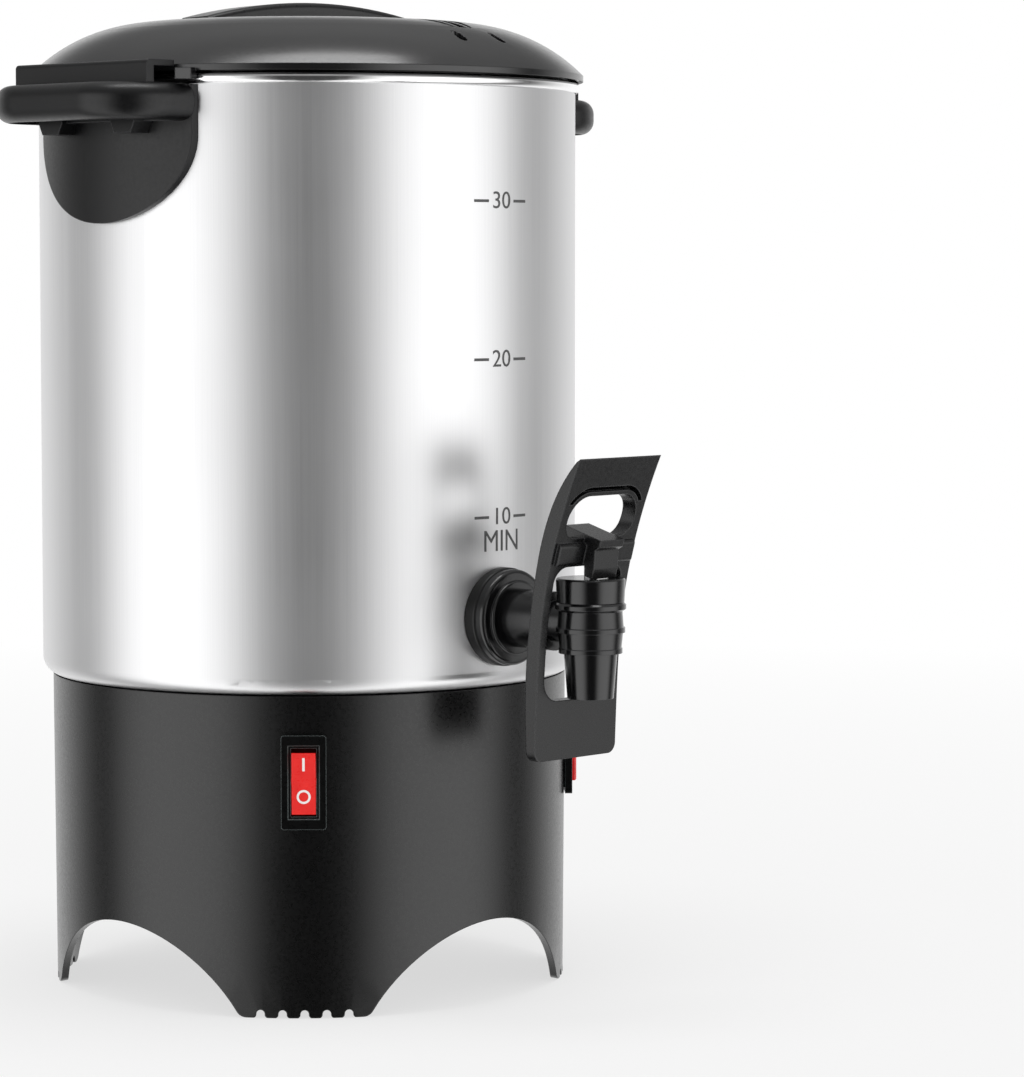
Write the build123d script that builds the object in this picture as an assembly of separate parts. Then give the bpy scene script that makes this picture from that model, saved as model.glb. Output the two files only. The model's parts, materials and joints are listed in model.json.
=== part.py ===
"""Coffee urn: a steel percolator tank on a black four-footed base, with a cup-trip tap.

Millimetres, +Z up.  The origin is on the tank's axis at the level of the table.
The tap faces -Y, the two handles stand at -X and +X, and the four feet, the rocker
switch and the ready light lie on the diagonals between them.
"""
import math
import os

from build123d import *

# ---------------------------------------------------------------- driving dimensions
# Tank
tank_radius = 94.0
tank_wall = 0.8
tank_height = 206.5            # from the base's top edge to the top of the rolled rim
tank_corner_radius = 6.0       # where the wall turns under
tank_floor_rise = 4.0          # the floor stands above the rim ring that sits on the base
tank_gutter_width = 7.0        # the low ring between the floor and the wall
rim_bead_radius = 2.0
rim_bead_overhang = 1.4        # how far the bead stands out of the wall

# Base
base_height = 108.2
base_setback = 3.5             # the base's top edge inside the tank's wall
base_taper = 0.7               # the skirt narrows by this much down to the feet
base_wall = 2.8
arch_half_width = 46.2
arch_height = 28.8
foot_notch_count = 5
foot_notch_pitch = 7.4
foot_notch_radius = 1.4
foot_notch_depth = 2.7
foot_lobe_round = 1.2          # on the lobes between the notches
foot_lobe_skim = 0.05          # the lobes' rounding is cut off this far above its lowest point
foot_corner_radius = 3.2       # where a foot runs into the arches
cover_level = 31.0             # underside of the bottom cover
cover_thickness = 2.5
cover_ledge_width = 4.0
cover_ledge_height = 2.5
cover_slot_count = 4
cover_slot_circle = 24.0
cover_slot_start = 22.5
cover_slot_length = 22.0
cover_slot_width = 4.0

# Heating
well_radius = 20.4             # outside of the percolator well's cup
well_wall = 0.8
well_depth = 17.0              # below the tank's floor
well_flange_width = 5.5
element_tube_radius = 4.0
element_ring_radius = 28.5
element_ring_runs = 10         # straight runs that the ring is bent from
element_end_bend = 5.5
element_leg_length = 20.0
element_leg_spread = 16.0
clamp_clearance = 3.5          # between the clamp plate and the thermostat's can
clamp_thickness = 1.6
tie_rod_radius = 2.0
tie_rod_inset = 4.0            # in from the clamp plate's edge
tie_rod_count = 3
nut_height = 3.2
nut_across_flats = 7.0
tie_nut_standout = 2.0         # rod end below its nut
sensor_edge_gap = 2.1          # between the thermostat's strap and the raised floor's edge
thermostat_radius = 8.0
thermostat_can_radius = 5.5
thermostat_flange = 4.0
thermostat_height = 8.0
fuse_radius = 2.2
fuse_length = 14.0
fuse_lead_radius = 0.6
fuse_lead_length = 8.0         # at each end
strap_thickness = 0.8
fuse_strap_width = 7.0
thermostat_strap_width = 15.0
strap_foot = 3.5
strap_side_gap = 0.2
terminal_block_size = (32.0, 12.0, 14.0)
terminal_block_offset = 40.0   # behind the axis
terminal_screw_radius = 2.0

# Switch and ready light
panel_part_drop = 28.5         # their middle below the base's top edge
bezel_width = 15.1
bezel_length = 31.5
bezel_thickness = 2.5
bezel_corner_radius = 1.0
bezel_frame_width = 10.4
bezel_frame_length = 24.6
bezel_frame_depth = 0.5
rocker_width = 8.0
rocker_radius = 11.1           # of the rocker's ends, about its pivot
rocker_pivot_depth = 3.6       # behind the bezel's front
rocker_half_angle = 6.5
lens_rise = 1.6                # beyond the bezel's front
lens_edge_radius = 0.8
lens_wall = 1.0
rocker_pin_radius = 1.0
switch_body_width = 12.8
switch_body_length = 27.0
switch_body_depth = 17.0
blade_width = 6.3
blade_thickness = 0.8
blade_length = 8.0
blade_pitch = 8.0
lamp_bulb_radius = 2.6
lamp_bulb_length = 9.0

# Power inlet, at the rear
inlet_drop = 46.2              # its middle below the base's top edge
inlet_flange_size = (48.0, 24.0, 2.0)
inlet_body_size = (27.0, 20.0, 22.0)
inlet_socket_size = (24.0, 16.4, 17.0)
inlet_pin_size = (4.0, 2.0)
inlet_pin_length = 11.0
inlet_pin_pitch = 7.0
inlet_screw_pitch = 40.0
inlet_screw_radius = 1.5
inlet_screw_length = 10.0
inlet_screw_head_radius = 3.0
inlet_screw_head_height = 1.6
inlet_flange_corner = 5.0

# Handles
handle_plate_half_width = 38.0
handle_plate_thickness = 2.5
handle_plate_drop = 49.7       # from the rim's top down to the plate's lowest point
handle_plate_round = 29.0      # height of the plate's elliptical end
grip_top_drop = 3.7            # from the rim's top
grip_thickness = 12.5
grip_half_width = 39.0
grip_reach = 26.0              # beyond the tank's wall
grip_corner_radius = 22.0
grip_edge_radius = 5.0
grip_wall = 4.0
grip_top_wall = 4.5
boss_offset = 18.3
boss_width = 12.0
boss_reach = 5.5
boss_drop = 3.8
channel_half_length = 33.4
channel_web = 3.2
channel_web_reach = 10.3       # web's outer face beyond the tank's wall
channel_edge_radius = 1.5
channel_flange_thickness = 2.0
handle_screw_radius = 2.0
handle_screw_offset = 20.0
handle_screw_drop = 32.0       # below the rim's top
handle_screw_head_radius = 4.0

# Lid
lid_overhang = 2.8             # beyond the tank's wall
lid_wall = 2.4
lid_edge_height = 2.1
lid_rise = 19.7                # from the lower edge to the crown
lid_shoulder_setback = 9.0     # two points on the dome, in from its edge and up from it
lid_shoulder_rise = 9.6
lid_haunch_setback = 22.6
lid_haunch_rise = 16.5
lid_seat_gap = 0.3
dish_radius = 50.0
dish_brim = 5.0                # level ring around the dish
dish_depth = 12.0
dish_edge_radius = 2.0
dish_floor_radius = 5.0        # where its wall meets its floor
plug_wall = 3.0
plug_clearance = 5.7           # between the plug and the tank's inner wall
plug_depth = 10.4              # below the lid's edge
plug_flange_width = 3.0
plug_flange_height = 2.7
gasket_height = 3.4
gasket_play = 0.3
lug_half_angle = 1.7
lug_rest_angle = 22.4          # the lug's centre, counted from the handle's middle
lug_lock_angle = 0.5
lug_reach = 3.8                # beyond the lid's edge
lug_thickness = 3.8
lug_base_clearance = 1.0       # above the grip
channel_play = 0.6             # above the lug
lug_stop_thickness = 2.0
lug_stop_gap = 1.0             # degrees between the locked lug and its stop
vent_azimuth = -89.0
vent_start = 61.0              # the wide vent's inner end off the lid's axis
vent_length = 14.0
vent_inner_width = 20.0        # the wide vent narrows outwards
vent_outer_width = 9.0
vent_corner_radius = 1.5
vent_rib_width = 1.6           # two ribs run across the wide vent
vent_rib_offset = 2.7
side_vent_circle = 82.0
side_vent_angle = 6.5          # to each side of the wide vent
side_vent_length = 7.0
side_vent_width = 3.6

# Lid grip
lid_grip_locked_azimuth = 149.5
lid_grip_width = 18.0
lid_grip_rise = 7.6            # above the crown, in the middle
lid_grip_end_rise = 0.7        # above the crown, at the dish's wall
lid_grip_thickness = 6.0
lid_grip_edge_radius = 2.0
lid_grip_post = 7.0
lid_grip_post_inset = 6.5      # from the dish's wall to the post
lid_grip_post_length = 14.0
lid_screw_radius = 1.8
lid_screw_head_radius = 3.4
lid_screw_head_height = 2.0
lid_screw_length = 10.0        # from the dish's underside up into a post

# Percolator set
pump_tube_radius = 4.5
pump_tube_wall = 0.7
pump_tube_top = 305.0
pump_base_radius = 18.6
pump_base_height = 14.0
pump_base_wall = 1.0
washer_radius = 8.0
washer_thickness = 1.5
washer_lift = 3.0
basket_radius = 60.0
basket_height = 52.0
basket_level = 238.0
basket_wall = 0.8
basket_sleeve_radius = 6.4
basket_hole_radius = 1.6
basket_hole_rings = (16.0, 28.0, 40.0, 52.0)
basket_hole_spacing = 13.0
stop_collar_radius = 8.0
stop_collar_height = 5.0
spreader_lip = 4.0
sleeve_clearance = 0.5
loose_gap = 0.3                # between soft or curved faces that only rest

# Tap
tap_rise = 19.6                # shank's axis above the tank's floor
tap_reach = 40.6               # valve's axis beyond the tank's wall
shank_thread_radius = 7.9
shank_hole_clearance = 0.1
shank_bore_radius = 5.0
shank_inner_length = 15.0      # inside the tank's wall
neck_radius = 7.0
collar_radius = 9.9
collar_length = 25.0           # from the tank's wall
outer_gasket_radius = 16.7
outer_gasket_front = 3.2       # its front face beyond the tank's wall
flange_radius = 16.2
flange_thickness = 3.6
flange_step_radius = 12.6
flange_step = 1.2
inner_gasket_radius = 13.0
inner_gasket_thickness = 3.0
tap_nut_across_flats = 24.0
tap_nut_height = 7.0
chamber_radius = 8.2
chamber_floor_drop = 8.6       # below the shank's axis
spout_bore_radius = 4.6
spout_tip_radius = 7.7
spout_top_radius = 8.9
spout_drop = 24.6              # the tip below the shank's axis
ring_low_radius = 10.6
ring_mid_radius = 11.5
ring_height = 1.6
ring_low_drop = 8.7
ring_mid_drop = 1.8
body_top_rise = 7.4            # the body's upper edge above the shank's axis
body_lip_radius = 11.8
body_lip_height = 3.0
bonnet_radius = 11.6
bonnet_foot_radius = 11.2
bonnet_height = 8.0
bonnet_roof = 3.0
bonnet_wall = 1.6
stem_radius = 2.2
stem_clearance = 0.08
stem_eye_width = 3.6
seat_cup_radius = 6.9
seat_cup_height = 5.0
tap_spring_radius = 5.2
tap_spring_wire = 0.9
tap_spring_turns = 4

# Lever, in the open position that it rests in here
lever_open_angle = 16.0
heel_depth = 6.8               # from the lever's pin to the heel's underside
heel_reach = 8.0
heel_width = 3.4
heel_clearance = 0.15
head_length = 16.6
head_width = 11.6
head_top = 6.6                 # above the pin
head_plate = 2.4
head_slot_clearance = 0.3
lever_pin_radius = 1.25
lever_pin_clearance = 0.05
lever_half_width = 19.8
lever_rail_width = 3.4
lever_thickness = 5.2
lever_top_thickness = 3.4
lever_top_rise = 54.8          # above the shank's axis
lever_bottom_drop = 45.1
lever_panel_height = 19.8
lever_bar_height = 11.7
lever_opening_corner = 8.0     # the finger opening's upper corners
lever_web_corner = 5.5         # its lower corners, and those below the crossbar
lever_panel_corner = 7.0       # above the cup panel
lever_groove_start = 1.4       # from the finger opening to the groove around it
lever_groove_width = 1.5
lever_groove_floor = 1.4       # wall left behind the groove
lever_groove_reach = 2.5       # the groove's ends below the top bar
lever_corner_radius = 3.5
lever_crossbar_height = 9.5
lever_crossbar_depth = 5.6
lever_top_reach = 11.8         # the lever's back face outside the valve's axis
lever_shoulder_reach = 0.2
lever_shoulder_rise = 38.5
lever_waist_setback = 7.6      # the lever's back face behind the valve's axis
lever_waist_rise = 11.0
lever_low_setback = 11.1
lever_low_drop = 22.0
lever_foot_setback = 10.6

# ---------------------------------------------------------------- derived levels
rim_level = base_height + tank_height
tank_inner_radius = tank_radius - tank_wall
floor_top = base_height + tank_floor_rise + tank_wall
floor_under = floor_top - tank_wall
floor_slope = tank_floor_rise * 0.6
floor_edge_radius = tank_radius - tank_corner_radius - tank_gutter_width - floor_slope
strap_half_length = thermostat_radius + strap_thickness + strap_side_gap + strap_foot
sensor_circle = floor_edge_radius - sensor_edge_gap - strap_half_length
clamp_radius = sensor_circle - thermostat_can_radius - clamp_clearance
tie_rod_circle = clamp_radius - tie_rod_inset
panel_part_level = base_height - panel_part_drop
inlet_level = base_height - inlet_drop
tap_height = floor_top + tap_rise
base_top_radius = tank_radius - base_setback
base_foot_radius = base_top_radius - base_taper
cover_top = cover_level + cover_thickness
cover_gap = 0.3
valve_reach = tank_radius + tap_reach
grip_top = rim_level - grip_top_drop
grip_under = grip_top - grip_thickness
handle_face = tank_radius + handle_plate_thickness
lid_radius = tank_radius + lid_overhang
lid_edge = rim_level + lid_seat_gap
crown_level = lid_edge + lid_rise
dish_floor = crown_level - dish_depth
lug_low = grip_top + lug_base_clearance
lug_high = lug_low + lug_thickness
flange_under = lug_high + channel_play
lug_tip_radius = lid_radius + lug_reach
bonnet_top = tap_height + body_top_rise + bonnet_height
open_angle = math.radians(lever_open_angle)
pin_height_open = heel_depth * math.cos(open_angle) + heel_reach * math.sin(open_angle)
pin_level = bonnet_top + heel_clearance + pin_height_open
stem_travel = pin_height_open - heel_depth
seat_level = tap_height - chamber_floor_drop
spout_tip = tap_height - spout_drop


# ---------------------------------------------------------------- small helpers
def disc(radius, low, high, x=0.0, y=0.0):
    """Upright cylinder between two levels."""
    return Pos(x, y, (low + high) / 2) * Cylinder(radius, high - low)


def ring(outer, inner, low, high, x=0.0, y=0.0):
    """Upright ring between two levels."""
    return disc(outer, low, high, x, y) - disc(inner, low - 1, high + 1, x, y)


def slab(x_span, y_span, z_span):
    """Box between two coordinates on each axis."""
    middle = [(span[0] + span[1]) / 2 for span in (x_span, y_span, z_span)]
    sides = [span[1] - span[0] for span in (x_span, y_span, z_span)]
    return Pos(*middle) * Box(*sides)


def outward(radius, near, far, level, x=0.0):
    """Cylinder along -Y, from one distance off the urn's axis to another."""
    return Pos(x, -(near + far) / 2, level) * Rot(90, 0, 0) * Cylinder(radius, far - near)


def across(radius, length, y, z):
    """Cylinder along X, centred on the YZ plane."""
    return Pos(0, y, z) * Rot(0, 90, 0) * Cylinder(radius, length)


def turned(edges):
    """Solid of revolution about Z of a closed outline drawn as (radius, level)."""
    return revolve(make_face([Plane.XZ * edge for edge in edges]), Axis.Z)


def hoop(major_radius, section_radius, level):
    """Round bar bent into a level circle about Z."""
    section = Plane.XZ * Pos(major_radius, level) * Circle(section_radius)
    return revolve(section, Axis.Z)


def group(pieces, turn=0.0):
    """Separate solids kept in one node, turned together about the urn's axis."""
    return Compound(children=[Rot(0, 0, turn) * piece for piece in pieces])


def hex_nut(across_flats, bore, height):
    """Hexagon nut standing on the XY plane."""
    body = extrude(RegularPolygon(across_flats / 2, 6, major_radius=False), height)
    return body - Pos(0, 0, height / 2) * Cylinder(bore, height + 2)


def polar(radius, count, start=0.0):
    """Points on a circle about the urn's axis."""
    steps = [math.radians(start + 360 * i / count) for i in range(count)]
    return [(radius * math.cos(a), radius * math.sin(a)) for a in steps]


def base_radius_at(level):
    """Outer radius of the skirt at a level."""
    return base_foot_radius + base_taper * level / base_height


# ---------------------------------------------------------------- tank
def make_tank_shell():
    corner_mid = tank_radius - tank_corner_radius
    corner_level = base_height + tank_corner_radius
    inner_corner = tank_corner_radius - tank_wall
    gutter_inner = corner_mid - tank_gutter_width
    outside = [
        Line((0, floor_under), (gutter_inner - floor_slope, floor_under)),
        Line((gutter_inner - floor_slope, floor_under), (gutter_inner, base_height)),
        Line((gutter_inner, base_height), (corner_mid, base_height)),
        CenterArc((corner_mid, corner_level), tank_corner_radius, -90, 90),
        Line((tank_radius, corner_level), (tank_radius, rim_level - rim_bead_radius)),
        Line((tank_radius, rim_level - rim_bead_radius),
             (tank_inner_radius, rim_level - rim_bead_radius)),
        Line((tank_inner_radius, rim_level - rim_bead_radius),
             (tank_inner_radius, corner_level)),
        CenterArc((corner_mid, corner_level), inner_corner, 0, -90),
        Line((corner_mid, base_height + tank_wall),
             (gutter_inner + tank_wall / 2, base_height + tank_wall)),
        Line((gutter_inner + tank_wall / 2, base_height + tank_wall),
             (gutter_inner - floor_slope + tank_wall / 2, floor_top)),
        Line((gutter_inner - floor_slope + tank_wall / 2, floor_top), (0, floor_top)),
        Line((0, floor_top), (0, floor_under)),
    ]
    shell = turned(outside)
    bead_middle = tank_radius + rim_bead_overhang - rim_bead_radius
    bead = hoop(bead_middle, rim_bead_radius, rim_level - rim_bead_radius)
    bead -= disc(tank_inner_radius, base_height, rim_level + 1)
    shell += bead
    shell -= disc(well_radius + cover_gap, base_height, floor_top + 1)
    shell -= outward(shank_thread_radius + shank_hole_clearance,
                     tank_radius - 20, tank_radius + 5, tap_height)
    for side in (-1, 1):
        for y in (-handle_screw_offset, handle_screw_offset):
            hole = Rot(0, 90, 0) * Cylinder(handle_screw_radius + 0.1, 20)
            shell -= Pos(side * tank_radius, y, rim_level - handle_screw_drop) * hole
    return shell


def make_heating_well():
    bottom = floor_top - well_depth
    cup = disc(well_radius, bottom, floor_top)
    cup += disc(well_radius + well_flange_width, floor_top, floor_top + well_wall)
    return cup - disc(well_radius - well_wall, bottom + well_wall, floor_top + 2)


def element_leg_place():
    """Where the element's two ends turn down, as (x, y) of the one at +X."""
    x = element_leg_spread / 2
    return x, math.sqrt(element_ring_radius ** 2 - x ** 2)


def make_heating_element():
    """Sheathed tube: a nearly closed ring whose two ends turn down."""
    level = floor_under - element_tube_radius - 0.1
    x, y = element_leg_place()
    first = math.atan2(y, -x)
    sweep_angle = 2 * math.pi - 2 * math.asin(x / element_ring_radius)
    step = sweep_angle / element_ring_runs
    ring_points = [(element_ring_radius * math.cos(first + step * i),
                    element_ring_radius * math.sin(first + step * i), level)
                   for i in range(element_ring_runs + 1)]
    low = level - element_leg_length
    points = [(-x, y, low)] + ring_points + [(x, y, low)]
    run = 2 * element_ring_radius * math.sin(step / 2)
    bend = 0.45 * run / math.tan(step / 2)
    radii = [element_end_bend] + [bend] * (element_ring_runs - 1) + [element_end_bend]
    path = FilletPolyline(*points, radius=radii)
    section = Plane(path @ 0, z_dir=path % 0) * Circle(element_tube_radius)
    return sweep(section, path)


def clamp_level():
    """Top of the plate that presses the element to the floor."""
    return floor_under - 2 * element_tube_radius - 0.2


def make_heater_clamp_plate():
    top = clamp_level()
    plate = ring(clamp_radius, well_radius + 1.5, top - clamp_thickness, top)
    for x, y in polar(tie_rod_circle, tie_rod_count, 30):
        plate -= disc(tie_rod_radius + 0.1, top - 5, top + 5, x, y)
    x, y = element_leg_place()
    for side in (-x, x):
        plate -= disc(element_tube_radius + 1, top - 5, top + 5, side, y)
    return plate


def make_tie_rods():
    low = cover_level - nut_height - tie_nut_standout
    rods = [disc(tie_rod_radius, low, floor_under, x, y)
            for x, y in polar(tie_rod_circle, tie_rod_count, 30)]
    return group(rods)


def make_nuts(top):
    """One nut on each tie rod, its upper face at a level."""
    nut = hex_nut(nut_across_flats, tie_rod_radius, nut_height)
    nuts = [Pos(x, y, top - nut_height) * nut
            for x, y in polar(tie_rod_circle, tie_rod_count, 30)]
    return group(nuts)


def strap(x_half, depth, width):
    """Sheet strap that holds a sensor against the floor's underside."""
    low = floor_under - depth
    half = width / 2
    body = slab((-x_half, x_half), (-half, half), (low - strap_thickness, low))
    for side in (-1, 1):
        inner = side * (x_half - strap_thickness)
        leg_x = sorted((inner, side * x_half))
        foot_x = sorted((inner, side * (x_half + strap_foot)))
        body += slab(leg_x, (-half, half), (low - strap_thickness, floor_under))
        body += slab(foot_x, (-half, half), (floor_under - strap_thickness, floor_under))
    return body


def make_thermostat():
    body = disc(thermostat_radius, floor_under - thermostat_flange, floor_under)
    body += disc(thermostat_can_radius, floor_under - thermostat_height, floor_under)
    for y in (-3.5, 3.5):
        body += slab((-blade_width / 2, blade_width / 2), (y - 0.4, y + 0.4),
                     (floor_under - thermostat_height - blade_length,
                      floor_under - thermostat_height))
    return Pos(-sensor_circle, 0, 0) * body


def make_thermostat_strap():
    band = strap(strap_half_length - strap_foot, thermostat_flange,
                 thermostat_strap_width)
    band -= disc(thermostat_can_radius + 0.2, base_height - 20, floor_top)
    return Pos(-sensor_circle, 0, 0) * band


def make_thermal_fuse():
    level = floor_under - fuse_radius - 0.05
    fuse = Pos(0, 0, level) * Rot(90, 0, 0) * Cylinder(fuse_radius, fuse_length)
    fuse += Pos(0, 0, level) * Rot(90, 0, 0) * Cylinder(
        fuse_lead_radius, fuse_length + 2 * fuse_lead_length)
    return Pos(sensor_circle, 0, 0) * fuse


def make_fuse_strap():
    band = strap(fuse_radius + strap_thickness + 0.1, 2 * fuse_radius + 0.1,
                 fuse_strap_width)
    return Pos(sensor_circle, 0, 0) * band


def make_terminal_block():
    length, width, height = terminal_block_size
    y = terminal_block_offset
    block = slab((-length / 2, length / 2), (y - width / 2, y + width / 2),
                 (cover_top, cover_top + height))
    for x in (-length / 3, 0, length / 3):
        block -= disc(terminal_screw_radius, cover_top + height - 4, cover_top + height + 1, x, y)
    return block


def make_terminal_screws():
    length, _, height = terminal_block_size
    screws = []
    for x in (-length / 3, 0, length / 3):
        top = cover_top + height - 0.5
        screws.append(disc(terminal_screw_radius - 0.1, top - 3.5, top, x, terminal_block_offset))
    return group(screws)


# ---------------------------------------------------------------- base
def foot_notches():
    """Cutter for one foot's wavy lower edge, for the foot at +X."""
    side_level = foot_lobe_round - foot_lobe_skim
    top_level = foot_notch_depth - foot_notch_radius
    wide = foot_notch_radius + foot_lobe_round
    bend = foot_lobe_round * (1 - math.sqrt(0.5))
    outline = [
        Line((-wide, -1), (-wide, -foot_lobe_skim)),
        ThreePointArc((-wide, -foot_lobe_skim),
                      (-foot_notch_radius - bend, bend - foot_lobe_skim),
                      (-foot_notch_radius, side_level)),
        Line((-foot_notch_radius, side_level), (-foot_notch_radius, top_level)),
        ThreePointArc((-foot_notch_radius, top_level), (0, foot_notch_depth),
                      (foot_notch_radius, top_level)),
        Line((foot_notch_radius, top_level), (foot_notch_radius, side_level)),
        ThreePointArc((foot_notch_radius, side_level),
                      (foot_notch_radius + bend, bend - foot_lobe_skim),
                      (wide, -foot_lobe_skim)),
        Line((wide, -foot_lobe_skim), (wide, -1)),
        Line((wide, -1), (-wide, -1)),
    ]
    notch = extrude(make_face([Plane.YZ * edge for edge in outline]), 2 * base_foot_radius)
    middle = (foot_notch_count - 1) / 2
    return [Pos(0, foot_notch_pitch * (i - middle), 0) * notch
            for i in range(foot_notch_count)]


def make_base_shell():
    outside = Cone(base_foot_radius, base_top_radius, base_height)
    inside = Cone(base_foot_radius - base_wall, base_top_radius - base_wall, base_height)
    shell = Pos(0, 0, base_height / 2) * (outside - inside)
    ledge_outer = base_radius_at(cover_top) - base_wall / 2
    shell += ring(ledge_outer, ledge_outer - base_wall / 2 - cover_ledge_width,
                  cover_top, cover_top + cover_ledge_height)
    drop = (arch_half_width ** 2 - arch_height ** 2) / (2 * arch_height)
    arch_radius = drop + arch_height
    arch = Rot(90, 0, 0) * Cylinder(arch_radius, 3 * tank_radius)
    shell -= Pos(0, 0, -drop) * arch
    shell -= Pos(0, 0, -drop) * Rot(0, 0, 90) * arch
    corners = [e for e in shell.edges().filter_by(Axis.X) + shell.edges().filter_by(Axis.Y)
               if abs(e.center().Z) < 0.01]
    shell = fillet(corners, foot_corner_radius)
    for foot in (45, 135, 225, 315):
        for notch in foot_notches():
            shell -= Rot(0, 0, foot) * notch
    half_width = switch_body_width / 2 + 0.1
    half_length = switch_body_length / 2 + 0.1
    window = slab((-half_width, half_width), (-tank_radius - 5, -tank_radius + 20),
                  (panel_part_level - half_length, panel_part_level + half_length))
    shell -= Rot(0, 0, -45) * window
    shell -= Rot(0, 0, 45) * window
    width, height, _ = inlet_body_size
    socket = slab((-width / 2 - 0.1, width / 2 + 0.1), (tank_radius - 20, tank_radius + 5),
                  (inlet_level - height / 2 - 0.1, inlet_level + height / 2 + 0.1))
    shell -= socket
    for x in (-inlet_screw_pitch / 2, inlet_screw_pitch / 2):
        shell -= Pos(x, tank_radius, inlet_level) * Rot(90, 0, 0) * Cylinder(
            inlet_screw_radius + 0.1, 30)
    return shell


def make_bottom_cover():
    cover = disc(base_radius_at(cover_level) - base_wall - cover_gap, cover_level, cover_top)
    for x, y in polar(tie_rod_circle, tie_rod_count, 30):
        cover -= disc(tie_rod_radius + 0.1, cover_level - 1, cover_top + 1, x, y)
    for i in range(cover_slot_count):
        slot = Pos(cover_slot_circle, 0, cover_level) * Box(
            cover_slot_length, cover_slot_width, 4 * cover_thickness)
        cover -= Rot(0, 0, cover_slot_start + 360 * i / cover_slot_count) * slot
    return cover


# ---------------------------------------------------------------- switch, light, inlet
def panel_front():
    """Distance of a bezel's front face off the urn's axis."""
    return base_radius_at(panel_part_level + bezel_length / 2) + bezel_thickness + 0.05


def bezel_and_body(open_width, open_length, pocket_depth):
    """Snap-in housing that faces -Y: bezel, stepped frame, body and an open pocket."""
    front = panel_front()
    back = front - bezel_thickness
    plate = Pos(0, -back, panel_part_level) * Rot(90, 0, 0) * extrude(
        RectangleRounded(bezel_width, bezel_length, bezel_corner_radius), bezel_thickness)
    half_w, half_l = switch_body_width / 2, switch_body_length / 2
    body = slab((-half_w, half_w), (-back - 0.01, -back + switch_body_depth),
                (panel_part_level - half_l, panel_part_level + half_l))
    step = slab((-bezel_frame_width / 2, bezel_frame_width / 2),
                (-front - 1, -front + bezel_frame_depth),
                (panel_part_level - bezel_frame_length / 2,
                 panel_part_level + bezel_frame_length / 2))
    pocket = slab((-open_width / 2, open_width / 2), (-front - 1, -front + pocket_depth),
                  (panel_part_level - open_length / 2, panel_part_level + open_length / 2))
    return plate + body - step - pocket


def blades(xs, zs):
    """Flat terminals behind a housing."""
    rear = panel_front() - bezel_thickness - switch_body_depth
    made = []
    for x in xs:
        for z in zs:
            middle = panel_part_level + z
            made.append(slab((x - blade_thickness / 2, x + blade_thickness / 2),
                             (-rear, -rear + blade_length),
                             (middle - blade_width / 2, middle + blade_width / 2)))
    return made


def pocket_size():
    """Opening that leaves the rocker free to turn."""
    return rocker_width + 0.5, 2 * rocker_radius + 0.6


def make_switch_housing():
    width, length = pocket_size()
    housing = bezel_and_body(width, length, rocker_pivot_depth + rocker_radius + 0.6)
    pivot_y = -(panel_front() - rocker_pivot_depth)
    housing -= across(rocker_pin_radius + 0.05, width + 2.4, pivot_y, panel_part_level)
    return Rot(0, 0, -45) * housing


def make_switch_rocker():
    """Rocker with its upper half pressed in."""
    pivot_y = -(panel_front() - rocker_pivot_depth)
    half = rocker_radius
    tilt = math.tan(math.radians(rocker_half_angle))
    face = -(rocker_pivot_depth - bezel_frame_depth)
    outline = Polyline((face - half * tilt, half), (face, 0), (face - half * tilt, -half),
                       (half * 0.5, -half * 0.45), (half * 0.5, half * 0.45), close=True)
    body = extrude(Plane.YZ * make_face(outline), rocker_width / 2, both=True)
    body &= across(rocker_radius, rocker_width, 0, 0)
    width, _ = pocket_size()
    body += across(rocker_pin_radius, width + 2.0, 0, 0)
    body = Rot(rocker_half_angle, 0, 0) * body
    return Rot(0, 0, -45) * Pos(0, pivot_y, panel_part_level) * body


def make_switch_terminals():
    return group(blades((0,), (-blade_pitch, 0, blade_pitch)), -45)


def make_lamp_housing():
    width, length = pocket_size()
    return Rot(0, 0, 45) * bezel_and_body(width, length, switch_body_depth - 1)


def make_lamp_lens():
    width, length = pocket_size()
    front = panel_front()
    lens = slab((-width / 2, width / 2), (-front - lens_rise, -front + 4.0),
                (panel_part_level - length / 2, panel_part_level + length / 2))
    edges = lens.edges().filter_by(lambda e: e.center().Y < -front - lens_rise + 0.01)
    lens = fillet(edges, lens_edge_radius)
    lens -= slab((-width / 2 + lens_wall, width / 2 - lens_wall),
                 (-front - lens_rise + 1.5 * lens_wall, -front + 5),
                 (panel_part_level - length / 2 + lens_wall,
                  panel_part_level + length / 2 - lens_wall))
    return Rot(0, 0, 45) * lens


def make_lamp_bulb():
    back = panel_front() - switch_body_depth + 1
    bulb = outward(lamp_bulb_radius, back, back + lamp_bulb_length, panel_part_level)
    tip = Pos(0, -back - lamp_bulb_length, panel_part_level) * Sphere(lamp_bulb_radius)
    return Rot(0, 0, 45) * (bulb + tip)


def make_lamp_terminals():
    return group(blades((0,), (-blade_pitch, blade_pitch)), 45)


def inlet_face():
    """Distance of the inlet flange's back off the urn's axis."""
    return base_radius_at(inlet_level + inlet_flange_size[1] / 2) + 0.05


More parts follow.
